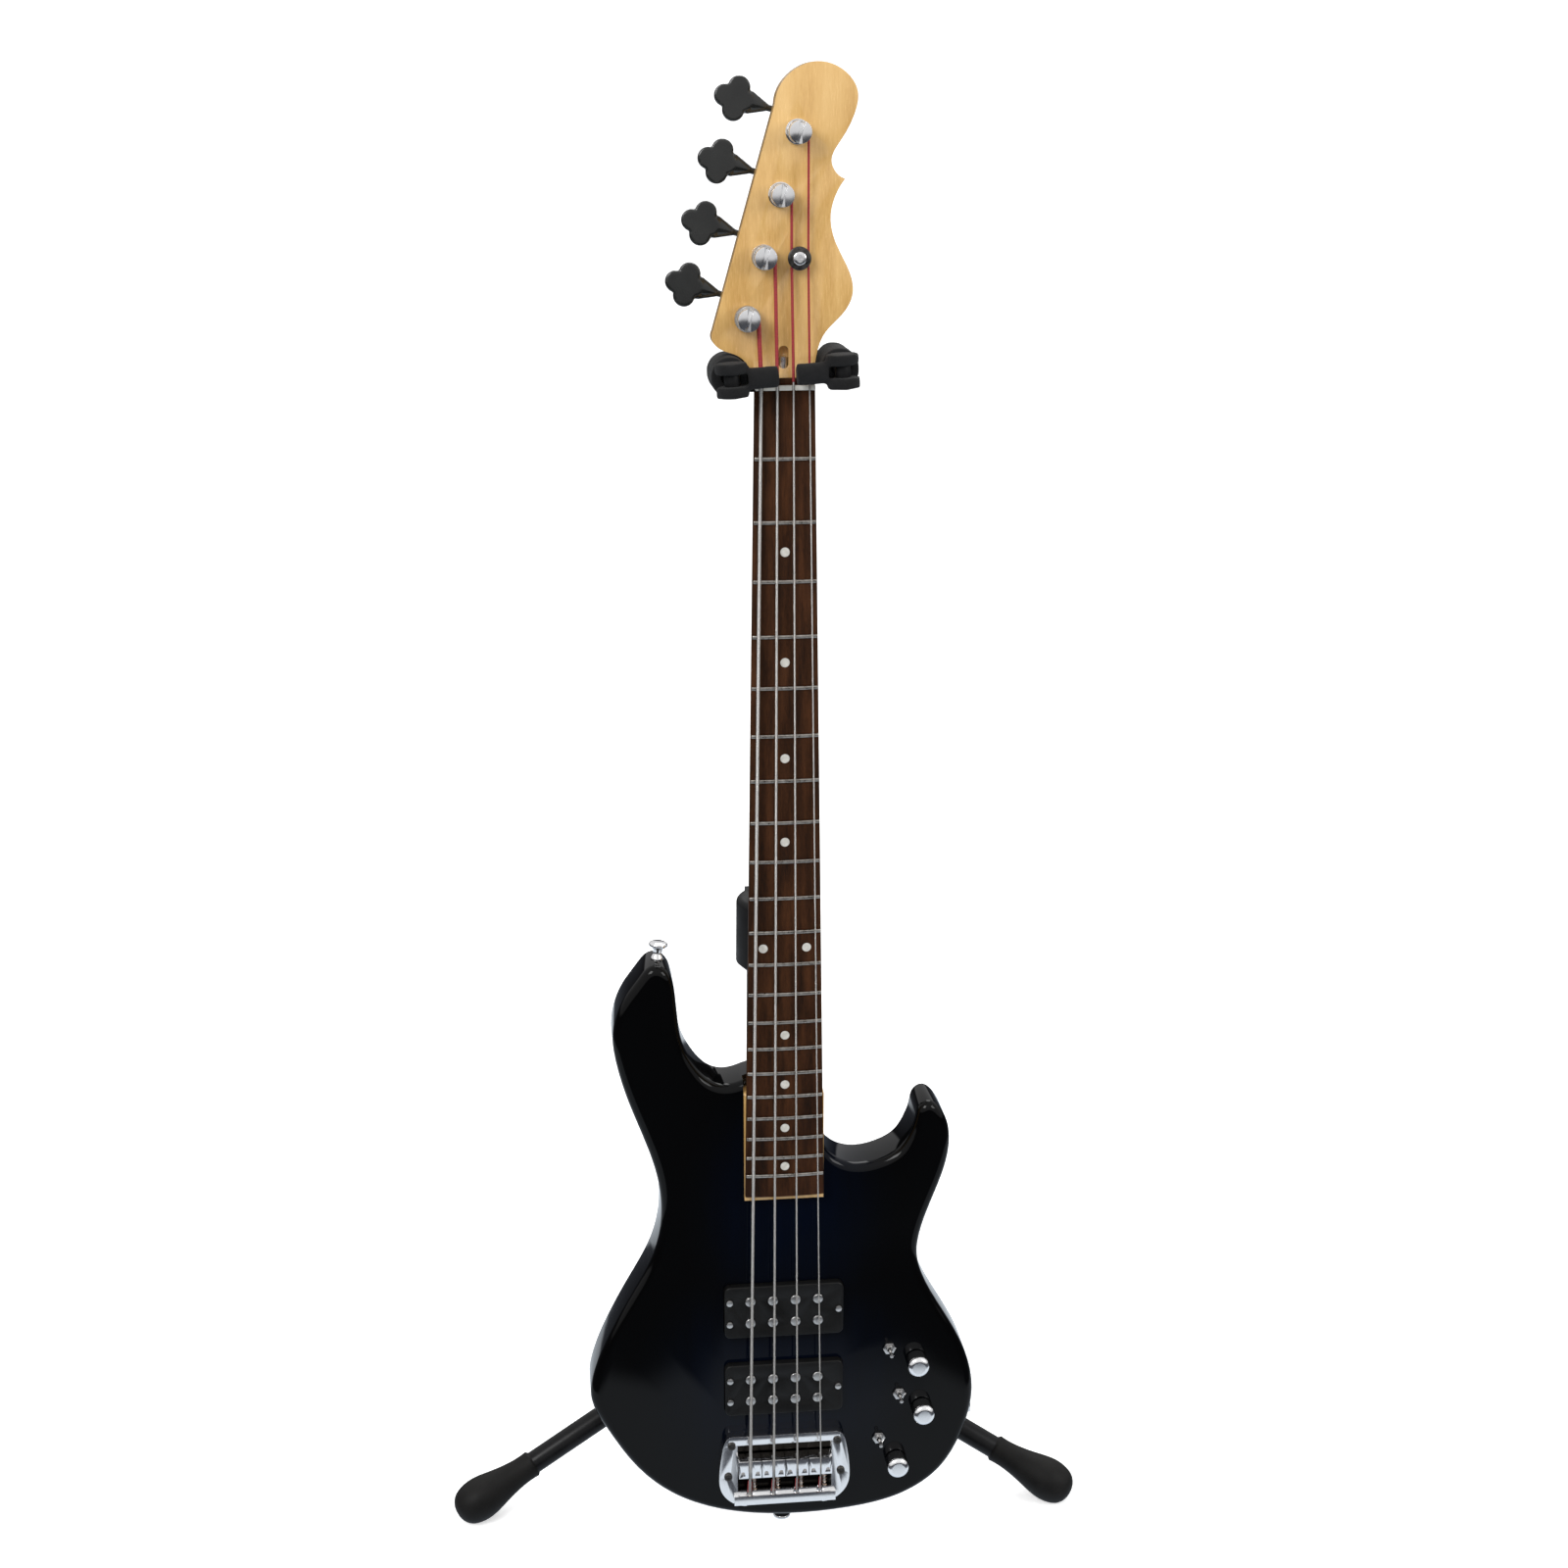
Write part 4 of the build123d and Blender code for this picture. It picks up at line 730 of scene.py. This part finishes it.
crossed_screws("bridge_screws", "bridge_screws_finished", screw_spots("bridge_screws"),
               node_span("bridge_screws")[1].z, 3.4, finishes["dark_screw"])
crossed_screws("neck_bolts", "neck_bolts_finished", screw_spots("neck_bolts"),
               node_span("neck_bolts")[0].z, 4.6, finishes["chrome"])
eased("small_screws", 0.4, 2)
saddle_screws = merged("saddle_screws_finished", "saddle_screws")
cut(saddle_screws, block(120, 20, 40, (0, node_span("bridge_plate")[0].y - 9.9, 0)))
finish_piece(saddle_screws, finishes["steel"], "guitar", "saddle_screws")

# ---------------------------------------------------------------- controls and electrics

for knob in ("volume_knob", "treble_knob", "bass_knob"):
    eased(knob, 0.6, 3, angle=50, material=SATIN_CHROME)
eased("toggle_bodies", 0.35, 2, material=finishes["steel"])
for toggle in ("pickup", "coil", "preamp"):
    eased(f"{toggle}_toggle_lever", 0.5, 3)
for label, edge in (
    ("control_cover", 0.6), ("output_jack", 0.5), ("strap_buttons", 0.6), ("potentiometers", 0.5),
    ("circuit_board", 0.3), ("pickup_coils", 1.2),
):
    eased(label, edge)
eased("battery", 1.6, 3, material=BATTERY_WRAP)
eased("truss_rod", 0.3, 1)


def slotted_post(number):
    """Tuner post with a rounded top and a slot across it for the string."""
    node = f"tuner_post_{number}"
    piece = merged(f"{node}_finished", node)
    apply_modifier(piece, "BEVEL", width=0.9 * MM, segments=3, limit_method="ANGLE",
                   angle_limit=math.radians(40), use_clamp_overlap=True)
    top = node_span(node)[1].z
    cut(piece, block(2.3, 16, 8, (posts[number - 1].x, posts[number - 1].y, top)))
    finish_piece(piece, SATIN_CHROME, body_of_node[node], node)


def cast_key(number):
    """Clover tuner key, cast in one piece with its stem, so every join is filled and soft."""
    node = f"tuner_key_{number}"
    piece = merged(f"{node}_finished", node)
    apply_modifier(piece, "REMESH", mode="VOXEL", voxel_size=0.7 * MM)
    apply_modifier(piece, "SMOOTH", factor=0.5, iterations=5)
    finish_piece(piece, finishes["black_key"], body_of_node[node], node, angle=80)


def retainer_screw():
    """Domed screw with a cross recess in the middle of the string retainer."""
    low, high = node_span("string_retainer")
    spot = (low + high) / 2
    head = cylinder(4.7, 1.6, (spot.x, spot.y, high.z + 0.3))
    apply_modifier(head, "BEVEL", width=0.7 * MM, segments=3, limit_method="ANGLE")
    recess = (spot.x, spot.y, high.z + 1.1)
    for bar in (block(5.2, 0.9, 1.8, recess), block(0.9, 5.2, 1.8, recess)):
        cut(head, bar)
    head.name = "retainer_screw"
    finish_piece(head, SATIN_CHROME, "guitar", slot="chrome")


retainer_screw()
for number in (1, 2, 3, 4):
    slotted_post(number)
    cast_key(number)

# ---------------------------------------------------------------- stand

for label, edge in (
    ("leg_hub", 1.2), ("leg_pins", 0.6), ("leg_left", 0.5), ("leg_right", 0.5), ("leg_rear", 0.5),
    ("lower_tube", 0.4), ("upper_tube", 0.4), ("clutch_body", 0.8), ("clutch_lever", 1.0),
    ("backrest_bar", 0.8), ("yoke_frame", 0.8), ("yoke_mount", 1.2),
):
    eased(label, edge)
for label in ("foot_left", "foot_right", "foot_rear"):
    eased(label, 1.0, 3, angle=40)


def foam_piece(node, rounds):
    """Foam with soft edges and a slightly uneven skin."""
    piece = merged(f"{node}_foam", node)
    apply_modifier(piece, "REMESH", mode="VOXEL", voxel_size=1.4 * MM)
    apply_modifier(piece, "SMOOTH", factor=0.5, iterations=rounds)
    bulge = bpy.data.textures.new(f"{node}_skin", "CLOUDS")
    bulge.noise_scale = 0.006
    apply_modifier(piece, "DISPLACE", texture=bulge, strength=0.5 * MM, mid_level=0.5)
    finish_piece(piece, finishes["foam"], body_of_node[node], node, angle=80)


for label, rounds, fill in (
    ("yoke_pads", 6, 0.9), ("backrest_pads", 6, 0.9), ("gate_left", 4, 0.95), ("gate_right", 4, 0.95),
):
    foam_piece(label, rounds)

# ---------------------------------------------------------------- room, light and camera


def studio():
    """Pale floor and wall that light nothing, three soft lamps, and a room that is dark at eye level."""
    scene = bpy.context.scene
    scene.view_settings.view_transform = "Standard"
    white, _, shader = blank("backdrop_white")
    shader.inputs["Base Color"].default_value = (0.86, 0.86, 0.86, 1)
    shader.inputs["Roughness"].default_value = 1.0
    shader.inputs["Emission Color"].default_value = (1, 1, 1, 1)
    shader.inputs["Emission Strength"].default_value = 0.5
    bpy.ops.object.select_all(action="DESELECT")
    bpy.ops.mesh.primitive_plane_add(size=90, location=(0, 0, 0))
    floor = bpy.context.object
    floor.name = "floor"
    floor.data.materials.append(white)
    bpy.ops.object.select_all(action="DESELECT")
    bpy.ops.mesh.primitive_uv_sphere_add(segments=32, ring_count=16, radius=44, location=(0, 0, 0))
    wall = bpy.context.object
    wall.name = "wall"
    wall.data.materials.append(white)
    for backdrop in (floor, wall):
        backdrop.visible_glossy = backdrop.visible_diffuse = False
    wall.visible_shadow = False
    world = bpy.data.worlds.new("studio")
    scene.world = world
    world.use_nodes = True
    tree = world.node_tree
    way = tree.nodes.new("ShaderNodeTexCoord").outputs["Generated"]
    parts = tree.nodes.new("ShaderNodeSeparateXYZ")
    tree.links.new(way, parts.inputs[0])
    height = math_in(tree, "MULTIPLY_ADD", parts.outputs["Z"], 0.5, 0.5)
    glow = ramp(
        tree, height,
        (0.0, (0.78, 0.88, 1.0)), (0.290, (0.86, 0.93, 1.0)), (0.302, (0.10, 0.11, 0.13)),
        (0.495, (0.04, 0.04, 0.045)), (0.52, (0.75, 0.75, 0.76)), (0.80, (1, 1, 1)), (1.0, (1, 1, 1)),
    )
    tree.links.new(glow, tree.nodes["Background"].inputs["Color"])
    tree.nodes["Background"].inputs["Strength"].default_value = 0.9
    for name, spot, size, power, aim in (
        ("key", (-1.6, -1.8, 2.6), 1.2, 46, (0, -0.15, 0.6)),
        ("fill", (2.0, -1.4, 1.8), 1.0, 20, (0, -0.15, 0.5)),
        ("back", (0.6, 1.8, 2.4), 1.4, 26, (0, 0, 0.6)),
    ):
        lamp = bpy.data.lights.new(name, "AREA")
        lamp.size, lamp.energy = size, power
        holder = bpy.data.objects.new(name, lamp)
        scene.collection.objects.link(holder)
        holder.location = spot
        holder.rotation_euler = (Vector(aim) - Vector(spot)).to_track_quat("-Z", "Y").to_euler()


def camera():
    """Standing a little to the left of the guitar, above it and looking down at it."""
    yaw_right, pitch_down, roll = math.radians(6.62), math.radians(22.42), math.radians(0.72)
    lens = bpy.data.cameras.new("camera")
    lens.lens, lens.sensor_width = 54.3, 36.0
    lens.clip_end = 60
    holder = bpy.data.objects.new("camera", lens)
    bpy.context.scene.collection.objects.link(holder)
    look = Matrix.Rotation(-yaw_right, 4, "Z") @ Matrix.Rotation(math.radians(90) - pitch_down, 4, "X")
    stand = nut_place + Vector((-0.1872, -1.6478, 0.3805))
    holder.matrix_world = Matrix.Translation(stand) @ look @ Matrix.Rotation(roll, 4, "Z")
    bpy.context.scene.camera = holder


studio()
camera()
